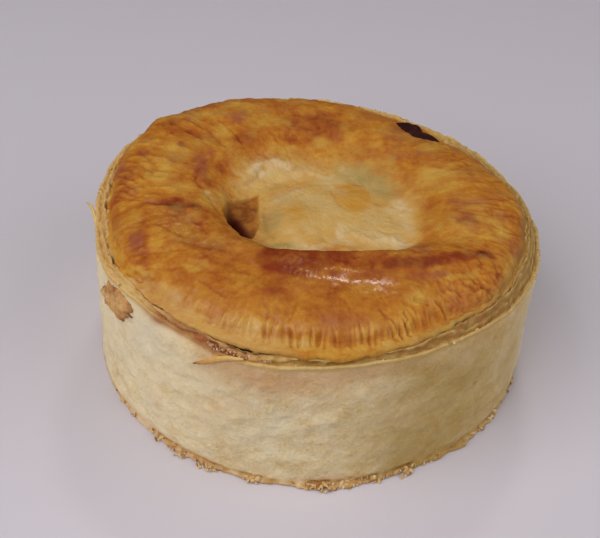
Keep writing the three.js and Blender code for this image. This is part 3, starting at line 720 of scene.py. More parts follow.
lidPaint = dict(
    # strengths; three of them paint shade into the colour: along the lifted edge at the back left, in the
    # relief's hollows with light on its ridges, and in the groove above the flange
    ground=0.55, flange=0.41, flangeGrain=0.12, streak=0.15, blotch=0.10, freckle=0.06, liftedEdgeShade=0.14,
    doughDrop=0.3, reliefShading=0.45, pleatDrop=0.14, groove=0.05, paleGrain=0.3, scattered=1.4, orange=1.1,
    peach=0.22, worn=0.55, flapSide=-12.8,
    flangeReach=[0.0, 0.1, 0.3, 0.5, 0.5, 0.3, 0.2, 1.8, 4.4, 3.4, 1.6, 0.2],
    # the last is where painted shade lies along the lid's lifted edge at the back left
    streaked=[0.8, 0.5, 0.3, 0.2, 0.4, 0.9, 1.0, 0.7, 0.3, 0.15, 0.3, 0.6], liftedEdgeShadeAt=[(128, 22, 1.0)],
    # x, y, length, width, turn in degrees, strength
    browningAndShading=[
        (-21.9, 29.2, 3.4, 2.6, 90, 0.12), (-39.2, 24.9, 4.6, 1.9, 13, 0.14),
        (-31.3, 19.7, 8.2, 1.7, -19, 0.06), (-35.5, 14.1, 1.5, 1.2, 82, 0.14),
        (-44.6, 10.7, 2.6, 1.7, -74, 0.1), (-37.9, 1, 5, 4.1, -80, -0.1),
        (-47.2, -2.8, 6.9, 3.1, -66, 0.1), (-33.4, -10.6, 7.4, 3, -2, 0.27),
        (-28.8, 5.1, 8.6, 2.2, -85, 0.08), (-24.7, -4.7, 5.7, 2.7, 77, -0.1),
        (-47.8, -11.3, 8.5, 1.5, -78, 0.1), (-40.5, -25, 4.6, 3.2, -69, 0.2),
        (-26, -24.3, 7.8, 3, -8, 0.13), (-37.1, -30.2, 4, 1.5, 5, 0.15),
        (-25.5, -32.4, 5.1, 2.1, -13, -0.08), (-14, -35.8, 4.5, 3.7, 59, -0.01),
        (-29.6, -40.9, 7.9, 2.8, -39, -0.12), (-17.3, 22.4, 6.2, 5.3, 16, 0.1),
        (-25.9, 22.9, 4.2, 3.1, -87, -0.08), (-0.7, 30.8, 9.8, 5.7, 17, 0.14),
        (-5.6, 24.1, 6.9, 2.3, 14, 0.1), (18, 22.3, 8.6, 3.9, -35, -0.04),
        (30.5, 9.3, 8.6, 4.8, -63, -0.06), (36.4, -6.2, 3.6, 3, 35, 0.1), (43.7, -2.7, 4.4, 1.6, 1, 0.1),
        (41.6, -13, 4.5, 3.1, 40, -0.06), (31.6, -22.9, 12.9, 2.2, 24, 0.25),
        (38.8, -20.6, 4.3, 1.8, 29, 0.12), (26.9, -29, 7.2, 1.7, 19, 0.05),
        (33.8, -28.2, 6.2, 1.4, 25, -0.1), (42.9, -25.2, 1.4, 0.7, 43, 0.22),
        (22.3, -37.5, 4.2, 2.7, 22, -0.12), (29.1, -35.1, 2.9, 1.5, 42, -0.06),
        (0, -38.5, 15.5, 3.4, 5, 0.04), (8, -45, 10.1, 2.4, 9, 0.02),
        (-11.4, -46.9, 6.2, 1.8, -13, -0.1), (8.5, -27.4, 6, 2, 9, 0.16),
        (20, -25.7, 5.7, 2.1, 14, 0.15), (10, -31, 10, 3, -3, 0.1), (-48, 2, 4, 9, 0, 0.08),
        (-24, 26, 15, 7, 20, -0.05), (33, -34, 5, 3, 35, 0.08), (38.5, -29.5, 4, 2.5, 40, 0.06),
        (42, -35, 5, 1.6, 40, 0.12), (35, -41, 5, 1.6, 30, 0.12), (26, -46, 5, 1.2, 20, 0.08),
        (-31, -31.5, 5, 3, -20, 0.06), (-25, -41, 6, 3, -30, -0.06), (-6, -44.5, 8, 2.5, -5, -0.06),
        (5, -49.2, 9, 1.2, 5, 0.05)],
    gold=[
        (-38.3, 0.5, 5, 4.4, -79, 0.8), (-33.8, -3.9, 3.4, 3.3, 0, 0.6),
        (-24.6, -5.5, 5.6, 2.7, 72, 0.8), (-30.3, -20, 4.4, 1.9, -18, 0.4),
        (-25.5, -32.4, 4.6, 2.1, -14, 0.5), (-25.9, 22.5, 4.2, 2.8, -86, 0.5),
        (-23.8, 16.8, 2.8, 2.3, 50, 0.4), (30.5, 9.3, 9.7, 4.9, -59, 0.55),
        (37.5, 0.8, 6.7, 3, -32, 0.5), (33.8, -28.2, 5.7, 1.4, 25, 0.6), (22.7, -37, 3.8, 2.2, 19, 0.6),
        (28.3, 22.4, 5.7, 3.7, -44, 0.4), (44.2, -10, 4.8, 3.1, 62, 0.4),
        (-10.5, 19.6, 5.3, 1.5, 18, 0.4), (7.7, 22, 7.8, 1.9, 1, 0.4), (-39.8, -9.4, 2.4, 1.5, -6, 0.3),
        (-38.6, 12.7, 3.9, 3.2, 60, 0.45), (-11.3, -47.5, 5.7, 1.6, -13, 0.4), (-30, 17, 6, 4, 40, 0.5)],
    mauve=[
        (-21.9, 29.2, 3.5, 2.6, 90, 0.95), (-44.6, 10.7, 2.6, 1.7, -74, 0.6),
        (-35.5, 14.1, 1.2, 1, 73, 0.7), (-28.8, 5.1, 8.6, 2.5, -85, 0.5),
        (-31.8, -15.6, 5.8, 2.6, -12, 0.5), (-41.2, -24.5, 4.3, 2.4, -69, 0.9),
        (-27.3, 12.1, 2.2, 1.3, -84, 0.6), (-13.4, -29, 2.8, 1.8, -85, 0.4),
        (26.9, -29.3, 7.3, 1.7, 19, 0.7), (36.4, -6.2, 3.3, 2.6, 28, 0.6),
        (8, -44.5, 10.1, 2.4, 9, 0.35), (-36.1, -34.5, 3.1, 1.2, -35, 0.4),
        (-45.8, -17.1, 4, 1.4, -73, 0.4), (37.9, -36.7, 3.2, 1.7, 42, 0.4),
        (-22.7, 11.4, 3.6, 2.2, 47, 0.35), (-6, 30.4, 5.6, 4.1, 32, 0.3), (38.5, -38.5, 6, 1.3, 40, 0.6)],
    pale=[
        (2, -3, 19, 14, 0, 0.95), (8, 13, 14, 6, -10, 0.8), (-12, 12, 9, 4, 42, 0.8),
        (20, -10, 9, 7, 0, 0.7), (-10, -17, 6, 4, -10, 0.45), (24, 2, 6, 8, 0, 0.4),
        (-20, 3, 3, 5, -30, 0.4)],
    cream=[
        (20.3, 0.9, 6, 4.2, -89, 0.75), (9.1, -11.6, 4.4, 2.6, 4, 0.7), (16.3, -11.9, 5, 3, 5, 0.9),
        (-14.5, 11.5, 6.5, 2.8, 48, 0.6), (-8.5, 15, 4.5, 1.8, 0, 0.5), (5, 6, 3, 5, 20, 0.3),
        (21, -12.5, 3.4, 2.2, 0, 0.6), (6.3, -9.1, 2.8, 2.2, 84, 0.5), (0.8, 13.1, 4.7, 1.5, 10, 0.45),
        (6.7, 15.6, 2.6, 1.7, 9, 0.4), (-3.5, -11.5, 4.8, 1.9, 7, 0.3), (0.5, -15.5, 6, 1.6, 4, 0.5),
        (23, -6, 4, 2.6, 80, 0.4), (3, 10.5, 4, 1.6, 12, 0.4), (-26.4, -2.8, 1.3, 0.7, 79, 0.9),
        (-28, -42.5, 6, 2.2, -35, 0.15), (-38.6, -35.6, 4.2, 1.8, -40, 0.55)],
    # points, width, strength
    creamLines=[
        ([(-22.1, 3.7), (-19.6, 5.8), (-17.5, 8.3), (-16.1, 11.7), (-13.8, 14.8), (-10.7, 15.2),
          (-7.6, 15.2)], 2.4, 0.5),
        ([(-10.7, 9.1), (-7.4, 12.3), (-3.4, 14.1), (0.8, 13.1)], 1.8, 0.5),
        ([(-16.6, -16), (-14.9, -12.5)], 0.8, 0.8),
        ([(-9, -19.2), (-3.1, -18.2), (6.3, -17.9), (15.8, -16.7), (24.1, -15.6)], 1, 0.9)],
    ashenLines=[
        ([(-11.6, -0.1), (-9.2, 1.8), (-7.1, 3.8), (-3.5, 7.4)], 1.3, 0.8),
        ([(3.6, -13.7), (6.2, -12.6)], 0.9, 0.8),
        ([(11.9, -11.5), (14.3, -9.3), (15.8, -11.9)], 0.8, 0.7),
        ([(18.2, -8.8), (20.5, -10.9), (22.1, -15)], 1, 0.7)],
    olive=[
        (-11, -7.4, 7.5, 4, -85, 0.75), (10.6, 14, 9, 5, -20, 0.85), (17, 9, 6, 4.2, -80, 0.65),
        (-6.8, -16, 5.7, 1.8, 4, 0.8), (-1, 8.8, 4, 1.4, 20, 0.4), (12, -6, 3, 1.6, 40, 0.3),
        (-10.8, 7.4, 4.1, 1.5, 41, 0.5), (-5, 15.4, 3.7, 1.1, 15, 0.4), (1.9, -13.2, 2.4, 1.3, 12, 0.35),
        (-22.3, -2.4, 4.7, 1.2, -87, 0.4)],
    amber=[(-5, -6, 6, 5, -84, 0.75), (0.5, -3.3, 5.2, 2.5, -88, 0.3), (27, -4, 5, 4, 70, 0.5)],
    red=[
        (12, -27, 7, 2.6, 5, 0.45), (20, -24.5, 6, 1.6, 10, 0.4), (31, -22.3, 11, 1.8, 20, 0.65),
        (-29.6, 4, 1.4, 5, -8, 0.3), (42.9, -25.2, 1.4, 0.8, 43, 0.6)],
    # outlines
    orangePatch=[
        (2.9, 4.4), (3.3, 9.4), (6.5, 11.4), (10.1, 11.9), (14, 6.3), (12.5, 0), (9.8, -2.6),
        (6.1, -1.7)],
    redZone=[
        (-12.2, -22), (11, -22), (9, -26), (5.4, -28.6), (3.2, -30.5), (1, -32), (-1, -33.4),
        (-6.9, -33.5), (-10.6, -33), (-12, -29.9)],
)


# layers of paint on the lid
def paintLid(x, y, angle, inset, radius, relief, inside, soakedAndShaded):
    s = lidPaint
    flat = np.stack([x, y, 0 * x], -1)
    wx, wy = warped(x, y, 1.3, 3.0, 91)
    nx, ny = warped(x, y, 0.6, 1.6, 97)

    def grain(size, seed):
        return roughLumps(flat, size, seed)

    def uneven(values, share, swing, size, seed):
        return values * (share + swing * grain(size, seed))

    def laid(name):
        return patches(wx, wy, s[name])

    def drawn(name):
        return sum(strength * stroke(nx, ny, line, width) for line, width, strength in s[name])

    flank = 0.7 * tour(angle, lid["innerFlank"]) + 1
    sunk = 1 - smooth((radius - tour(angle, lid["sunkRadius"]) + 1) / flank)
    dough = limit(spots(x, y, s["pale"]) + s["paleGrain"] * grain(5, 71)) * sunk
    radial = tour(angle, s["streaked"]) * smooth((26 - inset) / 8)
    streaks = radial * roundLumps(angle, inset, 2.6, 14, 73, 3) + 0.6 * longWaves(angle, inset)
    streaks += 0.7 * (1 - radial) * roundLumps(angle, inset, 7, 3, 74, 3)
    # painted shade in the relief's creases and hollows, and painted light on its ridges
    reliefShading = np.clip(softened(relief, 10) - relief, -0.35, 0.2)
    pleated = limit(places(angle, pleat["zones"])) * window(inset, 0.8, 1.2, 8, 4)
    clean = facing(angle, -90, 3, 1.7)
    reach = tour(angle, s["flangeReach"]) * (1 + 0.4 * edgeLumps(angle, 3, 79))
    flange = smooth((reach - inset) / 1.2 + 0.5)
    brown = s["ground"] + uneven(patches(wx, wy, s["browningAndShading"], 0.7), 1, 0.5, 2.4, 72) + s["streak"] * streaks
    brown += (s["blotch"] * grain(7, 75) + s["freckle"] * grain(2.4, 77)) * (1 - 0.2 * clean)
    # painted shade along the lid's lifted edge at the back left
    brown += s["liftedEdgeShade"] * smooth(1 - inset / 4) * places(angle, s["liftedEdgeShadeAt"])
    brown = mix(brown, s["flange"] + s["flangeGrain"] * roundLumps(angle, inset, 3, 3, 80), flange)
    # painted shade and light: browner in the relief's hollows and paler on its ridges, and browner in the
    # groove above the flange
    brown += s["reliefShading"] * reliefShading + s["groove"] * flangeGroove(angle, inset)
    brown -= s["doughDrop"] * dough + s["pleatDrop"] * pleated
    varied = s["scattered"] * (1 - sunk) * (1 - 0.8 * clean)
    amber = laid("amber") + s["orange"] * smooth(insideOutline(wx, ny, s["orangePatch"]) / 3.5 + 0.4)
    red = laid("red") + smooth(insideOutline(wx, wy, s["redZone"]) / 3.0 + 0.5)
    spread = 0.75 + 1.3 * grain(2.0, 81)
    peach = s["peach"] * flange * facing(angle, -116, 12, 10.6)
    worn = s["worn"] * smooth(1.2 - inset / 2.2) * facing(angle, -15, 3, 1.2)
    return dict(
        # browning, with painted shade in the hollows and along the lifted edge, and painted light on the
        # ridges
        browningAndShading=brown,
        dough=uneven(dough, 0.9, 0.5, 4, 85),
        gold=uneven(laid("gold") + limit(grain(6, 86) - 0.05) * varied, 0.85, 0.5, 2.4, 88),
        mauve=uneven(laid("mauve") + limit(grain(5, 87) - 0.15) * varied, 0.85, 0.5, 2.4, 89),
        cream=(laid("cream") + drawn("creamLines")) * spread + peach,
        ashen=drawn("ashenLines") * spread,
        olive=uneven(laid("olive") + worn, 0.9, 0.5, 2.2, 82),
        amber=uneven(amber, 0.9, 0.5, 3, 84),
        redness=uneven(red, 0.9, 0.4, 2.4, 83),
        gravy=inside * smooth((s["flapSide"] - x) / 2.4),
        # the vent's hole: dark with soaked gravy, and painted shade deep in it
        soakedAndShaded=soakedAndShaded,
        dry=np.maximum(np.maximum(dough, 0.7 * flange), inside),
        gloss=spots(x, y, lid["smoothPatches"] + lid["glints"]),
    )


glaze = dict(
    mottle=0.08, fine=0.05, roughness=(0.58, 0.8), roughMottle=0.06, specular=0.2, coatRoughness=0.19,
    # the hole's dark colour stands for soaked gravy and for painted shade in it
    bump=0.6, bumpDepth=0.0005, flap=((168, 106, 40), (126, 70, 22)), soakedAndShaded=(84, 30, 10),
    browningAndShading=[(0.05, (214, 178, 110)), (0.22, (208, 160, 76)), (0.38, (204, 147, 54)), (0.52, (190, 121, 36)),
              (0.66, (172, 95, 27)), (0.8, (146, 66, 22)), (1.0, (84, 34, 14))],
    layers=[("dough", 0.8, (207, 178, 118)), ("gold", 0.7, (206, 166, 76)), ("mauve", 0.7, (158, 88, 60)),
            ("redness", 0.9, (128, 36, 6)), ("amber", 0.9, (200, 142, 50)), ("olive", 0.8, (156, 137, 82)),
            ("cream", 0.75, (222, 198, 154)), ("ashen", 0.4, (190, 174, 152))],
)


def glazedPastry(s):
    material, tree, shader = newMaterial("glazedPastry")
    mottle = noise(tree, 260, 4, distortion=0.4)
    # browning, with the painted shade and light that the layer carries
    brown = speckled(tree, painted(tree, "browningAndShading"), mottle, s["mottle"])
    brown = speckled(tree, brown, noise(tree, 900, 4), s["fine"], True)
    colour = layOver(tree, ramp(tree, brown, s["browningAndShading"]), s["layers"])
    flap = blend(tree, stretch(tree, mottle, 0.4, 0.6), *[linear(*tint) for tint in s["flap"]])
    colour = blend(tree, painted(tree, "gravy"), colour, flap)
    # the vent's hole: soaked gravy and painted shade
    colour = blend(tree, painted(tree, "soakedAndShaded"), colour, linear(*s["soakedAndShaded"]))
    tree.links.new(colour, shader.inputs["Base Color"])
    rough = stretch(tree, painted(tree, "dry"), 0, 1, *s["roughness"])
    tree.links.new(speckled(tree, rough, mottle, s["roughMottle"], True), shader.inputs["Roughness"])
    shader.inputs["Specular IOR Level"].default_value = s["specular"]
    # the egg glaze lies thick on the crest alone
    tree.links.new(painted(tree, "gloss"), shader.inputs["Coat Weight"])
    shader.inputs["Coat Roughness"].default_value = s["coatRoughness"]
    addBump(tree, shader, s["bump"], s["bumpDepth"], noise(tree, 1100))
    return material


glazedLid = makeLid(glazedPastry(glaze))
finishPiece(glazedLid, "lid")

case = dict(
    pointsAround=760, wallStart=2.2, wallEnd=35.6, wallStep=0.44, unevenness=0.3, twist=0.4,
    soleShares=(0.3, 0.7), soleInset=2.2, footNotch=0.35, notchHeight=1.3,
    footInset=[-0.6, 0.2, 0.8, 0.8, 0.8, 0.4, 0.2, 0.3, 0.1, -0.4, -0.7, -0.7],
    # rings of the foot: inward, share of the flakes, height, raggedness
    footProfile=[(0.4, 0, 0.05, 0), (0, 0, 0.45, 0.2), (0.1, 0.3, 0.9, 0.2)],
    baseInset=[-0.6, 0.1, 0.8, 1.0, 1.0, 0.7, 0.5, 0.6, 0.4, 0.0, -0.1, -0.5],
    topInset=[-0.7, 0.2, 0.7, 0.7, 0.7, 0.6, 0.6, 0.8, 0.8, 0.5, 0.2, -0.4],
    # relief of the wall, from broad to fine
    broad=0.4, pucker=0.28, lump=0.34, grain=0.11,
    lipWaver=0.3, lipShares=(0.2, 0.4, 0.6, 0.8), lipRelief=0.12, lipInset=0.25, lipDrop=0.9,
    # rings of the lip: outward with a share of the chips, upward with a share of the chips
    lipProfile=[(-0.05, 0.35, -0.75, 0.2), (0, 0.3, -0.3, 0), (-0.25, 0.15, 0, 0.45), (-0.6, 0, -0.15, 0.25)],
    lipTop=[
        36.8, 37.6, 38.5, 39.2, 39.8, 39.9, 40, 40.2, 40.4, 40.8, 41, 41.3, 41.5, 41.5, 41.2, 40.6, 38.7,
        38.3, 39.1, 39.4, 39, 38.8, 37.6, 36.6],
    lipShift=[
        1, 0.9, 0.6, 0.3, 0, 0, 0, 0, 0, 0, 0, 0, -0.3, -0.5, 0.4, -0.4, -1.6, 0, 0, 0, 0, 0, 0.4, 0.9],
    shelfEnd=[41.4, 40.8, 40.4, 40.5, 41.1, 41.6, 41.8, 41.8, 41.2, 40.8, 41.1, 41.5],
    shelfLeast=0.4, shelfSteps=18, layerPitch=1.4, layerRise=0.6, layerShift=0.9, layerBreak=1.1,
    ridgeMost=0.8,
    # the plain hollow that the lid covers: the first ring, then share of the rim, inset and height
    coverInset=1.5, coverDrop=1.2, coverRings=[(1.0, 9, 38.0), (0.6, 0, 34.8), (0.25, 0, 31.6)],
    # places where the lid has come away from the rim: angle, spread, depth
    cracks=[(-106, 6, 1.7), (178, 1.6, 0.4), (-173, 1, 0.5), (-149, 2.4, 0.5), (152, 4, 0.5)],
    # flakes that spread from the foot: angle, spread, reach
    skirt=[
        (-127, 3, 1), (-121, 3, 1.6), (-113, 4, 1.5), (-101, 4, 1.3), (-85, 4, 1.5), (-79, 5, 1.3),
        (-70, 3, 1), (-62, 3, 1.6), (-52, 3, 0.8), (-43, 3, 1.6), (-33, 3, 0.9), (-140, 6, 0.4),
        (-15, 10, 0.4), (20, 20, 0.5), (60, 15, 0.6), (95, 12, 0.5), (130, 10, 0.7), (170, 14, 0.5)],
)


def lipRadius(angle):
    waver = case["lipWaver"] * unevenWave(angle, 37, [7, 13, 22, 41])
    return tour(angle, rimTour) + tour(angle, case["lipShift"]) + waver


def wallRadius(angle, height):
    up = (height - case["wallStart"]) / (case["wallEnd"] - case["wallStart"])
    turned = angle + case["twist"] * up
    uneven = mix(unevenWave(turned, 23, [3, 5, 8]), unevenWave(turned, 29, [4, 7, 13]), up)
    inset = mix(tour(angle, case["baseInset"]), tour(angle, case["topInset"]), up)
    return tour(angle, rimTour) - inset + case["unevenness"] * uneven


def wallRelief(points):
    total = case["broad"] * roughLumps(points, 9.0, 103) + case["lump"] * roughLumps(points, 3.6, 105)
    total += case["pucker"] * ridged(roughLumps(points, 6.0, 104))
    return total + case["grain"] * roughLumps(points, 1.1, 107, 2)


def makeCase(material):
    count = case["pointsAround"]
    around = np.arange(count) * fullTurn / count
    rim = tour(around, rimTour)
    lip = lipRadius(around)
    lipTop = tour(around, case["lipTop"])
    skirt = places(around, case["skirt"])
    ragged = edgeLumps(around, 1.1, 101, 3)
    uneven = 0.55 + 0.5 * edgeLumps(around, 4, 102) + 0.6 * ragged
    foot = rim - tour(around, case["footInset"]) + skirt * uneven + 0.2 * ragged
    notch = case["footNotch"] * facing(around, -60, 3, 0.4)

    def ring(radius, height):
        return ringOf(around, radius, height)

    def wallRing(height):
        r = wallRadius(around, height)
        return ring(r + wallRelief(ring(r, height)) * smooth((height - 0.5) / 3), height)

    rings = [ring(share * rim, 0) for share in case["soleShares"]] + [ring(rim - case["soleInset"], 0)]
    rings += [ring(foot - share * skirt - inward, height + roughness * ragged)
              for inward, share, height, roughness in case["footProfile"]]
    rings.append(ring(foot - skirt - notch, case["notchHeight"]))
    heights = np.arange(case["wallStart"], case["wallEnd"] + 0.01, case["wallStep"])
    rings += [wallRing(height) for height in heights]
    # from the top of the wall up to the lip, which stands higher in some places than in others
    topRadius = np.hypot(rings[-1][:, 0], rings[-1][:, 1])
    chips = 0.9 * edgeLumps(around, 1.0, 109, 3) + 0.6 * edgeLumps(around, 3.6, 108)
    for share in case["lipShares"]:
        height = mix(case["wallEnd"], lipTop - case["lipDrop"], share)
        r = mix(topRadius, lip - case["lipInset"], smooth(share))
        rings.append(ring(r + case["lipRelief"] * wallRelief(ring(r, height)), height))
    wallRows = len(rings)
    rings += [ring(lip + outward + outChips * chips, lipTop + upward + upChips * chips)
              for outward, outChips, upward, upChips in case["lipProfile"]]
    ridges = [0 * around] * wallRows + [chips] * len(case["lipProfile"])
    # the shelf runs in from the lip and under the lid, in broken layers
    back, _, drop, _ = case["lipProfile"][-1]
    shelfStart, shelfTop = lip + back, lipTop + drop
    edge = lidEdgeRadius(around)
    cracks = places(around, case["cracks"]) * (0.7 + 0.6 * edgeLumps(around, 2.2, 127))
    shelfEnd = tour(around, case["shelfEnd"])
    width = np.maximum(shelfStart - edge, case["shelfLeast"])
    length = np.hypot(width, shelfEnd - lipTop)
    level = smooth((width - case["shelfLeast"]) / 1.5)
    layerShift = case["layerShift"] * edgeLumps(around, 7, 123, 3)
    for share in np.linspace(0, 1, case["shelfSteps"] + 1)[1:]:
        layer = np.abs(2 * np.mod(length * share / case["layerPitch"] + layerShift, 1) - 1)
        broken = case["layerBreak"] * roundLumps(around, length * share, 1.0, 0.55, 121, 3)
        ridge = np.clip(layer - 0.5 + broken, -case["ridgeMost"], case["ridgeMost"])
        height = mix(shelfTop, shelfEnd, smooth(share * 1.15)) - cracks * smooth((share - 0.7) / 0.3)
        outward = case["layerRise"] * ridge * (1 - level) * math.sin(math.pi * share)
        rings.append(ring(shelfStart - width * share + outward, height + case["layerRise"] * ridge * level))
        ridges.append(ridge)
    rings.append(ring(edge - case["coverInset"], shelfEnd - case["coverDrop"]))
    rings += [ring(share * rim - inset, height) for share, inset, height in case["coverRings"]]
    ridges += [0 * around] * (len(rings) - len(ridges))
    vertices, faces = skinRings(rings, (0, 0, 0), (0, 0, case["coverRings"][-1][2]))
    layers = paintCase(np.array(rings), wallRows, cracks, np.array(ridges))
    return addPiece("shortcrustCase", vertices, faces, material, layers)


# rows of spots on the wall: angle in degrees, height, spread in both, turn in degrees, strength
casePaint = dict(
    # strengths; some paint light and shade into the wall: the right side browner, partly toasting and partly
    # painted shade; the left paler, partly its tone and partly painted light; the far right painted with
    # bounced light
    ground=0.14, blotch=0.14, freckle=0.15, footToast=0.3, speckAt=(-42.5, 21), speck=0.7, rightToastAndShade=0.12,
    leftPaleAndLit=0.1, backFade=0.1, farRightBounceLight=0.16, blushGrain=0.5, footBlush=0.5, greyGrain=1.2,
    shelfBrown=0.55, ridgeFlour=0.6, rightFlour=0.3, leftFlour=0.9, poles=0.3,
    blush=[(-100, 34, 14, 5, 0, 0.85), (-78, 37, 16, 3.6, 0, 0.7), (-108, 22, 9, 3, 30, 0.3),
           (-42, 35, 20, 6, 0, 0.4)],
    grey=[(180, 20, 50, 18, 0, 0.9), (-180, 20, 50, 18, 0, 0.9), (-132, 31, 10, 7, 0, 0.8),
          (-96, 24, 12, 4, -30, 0.6), (-104, 14, 8, 5, 40, 0.5), (-80, 20, 12, 3, 20, 0.4),
          (-60, 10, 10, 4, 0, 0.25), (-12, 22, 14, 16, 0, 1.4)],
    stain=[(-122, 39.4, 8, 2.0, 0, 1.0), (-114, 38.6, 5, 1.6, 0, 1.0), (-128, 38.6, 3, 1.3, 0, 0.5),
           (-107, 39.6, 5, 1.2, 0, 0.7)],
    flour=[(-133, 38.6, 3, 2, 0, 0.3), (-141, 41, 4, 0.8, 0, 0.5)],
)


# layers of paint on the case; rows of points are counted from the top of the wall
def paintCase(points, wallRows, cracks, ridge):
    s = casePaint
    angle = np.arctan2(points[..., 1], points[..., 0])
    turn, height = angle / degree, points[..., 2]
    row = np.arange(len(points))[:, None] + 0 * angle - wallRows

    def grain(size, seed):
        return roughLumps(points, size, seed)

    def broken(share, swing, size, seed):
        return limit(share + swing * grain(size, seed))

    def near(place, spread):
        return bell((turn - place) / spread)

    def laid(name):
        return spots(turn, height, s[name])

    onWall = 1 - smooth((row + 1.5) / 1.5)
    lipBand = bell((row - 1.5) / 1.6)
    shelf = smooth((row - 2.5) / 2)
    inner = shelf * smooth((row - 4 - 0.6 * case["shelfSteps"]) / 4)
    front = window(turn, -103, 8, 60, 40)
    toastAndShading = s["ground"] + s["blotch"] * grain(9, 111) + s["freckle"] * grain(3.6, 113)
    foot = smooth((2.4 + 1.8 * grain(4, 114) - height) / 1.8) * np.clip(0.75 + 2 * grain(2.6, 115), 0, 1.7)
    # a darker line in the crevice just above the foot: painted shade
    crevice = bell((height - 1.35) / 0.4) * broken(0.5, 1.6, 3.0, 130)
    toastAndShading += (s["footToast"] * foot + crevice * mix(0.15, 0.5, smooth((turn + 108) / 14))) * onWall
    toastAndShading += s["speck"] * bell(np.hypot(turn - s["speckAt"][0], height - s["speckAt"][1]) / 0.5)
    # the right side browner, toasted and painted with shade; the far right paler with painted bounced light;
    # the left paler, its own tone and painted light
    toastAndShading += s["rightToastAndShade"] * window(turn, -92, 40, 30, 60) - s["farRightBounceLight"] * near(-8, 18)
    toastAndShading -= s["leftPaleAndLit"] * smooth((-100 - turn) / 30) + s["backFade"] * smooth((turn - 120) / 30)
    blush = laid("blush") + s["blushGrain"] * limit(grain(7, 116) - 0.15)
    blush += s["footBlush"] * smooth((4.2 + 3 * grain(5, 122) - height) / 3)
    grey = laid("grey") + s["greyGrain"] * limit(grain(5, 118) - 0.1) * (1 - 0.6 * near(-50, 28))
    # olive on the wall's front right and right side: the crust's tone there, partly painted shade on the side
    # away from the main lamp
    olive = window(turn, -88, 30, 0, 40) * (0.74 + 0.4 * grain(8, 120))
    olive *= (1 - 0.35 * smooth((height - 24) / 10)) * (1 + 0.3 * near(-57, 14))
    olive += 0.12 * near(-108, 14)
    # the shelf darker brown at the front right, in broken patches
    stain = laid("stain") + s["shelfBrown"] * shelf * near(-47, 24) * broken(0.5, 1.5, 2.2, 129)
    leftSide = facing(angle, 188, 3, 1.4) * (1 - 0.8 * near(-134, 9))
    flour = lipBand * (0.7 + 0.9 * grain(1.4, 125)) + s["ridgeFlour"] * shelf * limit(1.3 * ridge)
    flour += s["rightFlour"] * shelf * near(-2, 24) + laid("flour")
    flour += s["leftFlour"] * inner * leftSide * broken(0.3, 1.5, 1.6, 128)
    layers = dict(
        # toasting, with the painted light and shade of the sides and of the foot's crevice
        toastAndShading=toastAndShading,
        blush=blush * onWall,
        grey=grey * onWall * (0.7 + 0.8 * grain(2.4, 117)),
        olive=olive * onWall,
        rim=(1 - onWall) * (1 - 0.5 * front * lipBand),
        husk=(1 - onWall) * window(turn, -102, 14, 80, 30),
        flour=flour * (1 - 0.5 * near(-152, 13)) * (1 + 0.7 * grain(1.2, 126)),
        groove=shelf * limit(mix(0.4, 0.8, front) - 1.1 * ridge) * mix(0.4, 0.9, front),
        stain=stain * (0.8 + 0.6 * grain(2, 119)),
        crack=inner * limit(cracks * 2),
    )
    return {name: np.append(limit(values).ravel(), [s["poles"]] * 2) for name, values in layers.items()}


crust = dict(
    mottle=0.13, fine=0.11, roughness=0.85, specular=0.3, bump=0.7, bumpDepth=0.0005, groove=(160, 118, 52),
    toastAndShading=[(0.0, (246, 228, 186)), (0.2, (236, 212, 160)), (0.4, (214, 182, 122)), (0.6, (196, 152, 88)),
           (0.8, (160, 106, 52)), (1.0, (112, 66, 32))],
    layers=[("blush", 0.7, (217, 158, 106)), ("grey", 0.6, (228, 214, 186)), ("olive", 0.75, (185, 151, 78)),
            ("rim", 0.8, (208, 154, 70)), ("husk", 0.6, (190, 154, 84)), ("flour", 0.7, (225, 194, 128))],
    lastLayers=[("stain", 0.9, (164, 92, 52)), ("crack", 0.8, (96, 52, 18))],
)


def shortcrust(s):
    material, tree, shader = newMaterial("shortcrust")
    mottle = noise(tree, 230, 5, 0.62, 0.5)
    # toasting, with painted light and shade
    toastAndShading = speckled(tree, painted(tree, "toastAndShading"), mottle, s["mottle"])
    toastAndShading = speckled(tree, toastAndShading, noise(tree, 1500), s["fine"], True)
    colour = layOver(tree, ramp(tree, toastAndShading, s["toastAndShading"]), s["layers"])
    broken = stretch(tree, mottle, 0.35, 0.65, 0.5, 1.2)
    groove = arithmetic(tree, "MULTIPLY", painted(tree, "groove"), broken, True)
    colour = layOver(tree, blend(tree, groove, colour, linear(*s["groove"])), s["lastLayers"])
    tree.links.new(colour, shader.inputs["Base Color"])
    shader.inputs["Roughness"].default_value = s["roughness"]
    shader.inputs["Specular IOR Level"].default_value = s["specular"]
    addBump(tree, shader, s["bump"], s["bumpDepth"], noise(tree, 1200, 4, 0.65))
    return material


shortcrustCase = makeCase(shortcrust(crust))
finishPiece(shortcrustCase, "filled_case")

# crust with one ramp of colours, for the small pieces
plain = dict(grain=900, speckle=0.15, bump=0.5, bumpDepth=0.0004, specular=0.5)


def plainCrust(look):
    material, tree, shader = newMaterial(look["name"])
    shade = speckled(tree, painted(tree, "shade"), noise(tree, plain["grain"], 4), plain["speckle"], True)
    tree.links.new(ramp(tree, shade, look["stops"]), shader.inputs["Base Color"])
    shader.inputs["Roughness"].default_value = look["roughness"]
    shader.inputs["Specular IOR Level"].default_value = look.get("specular", plain["specular"])
    addBump(tree, shader, plain["bump"], plain["bumpDepth"], noise(tree, plain["grain"]))
    return material


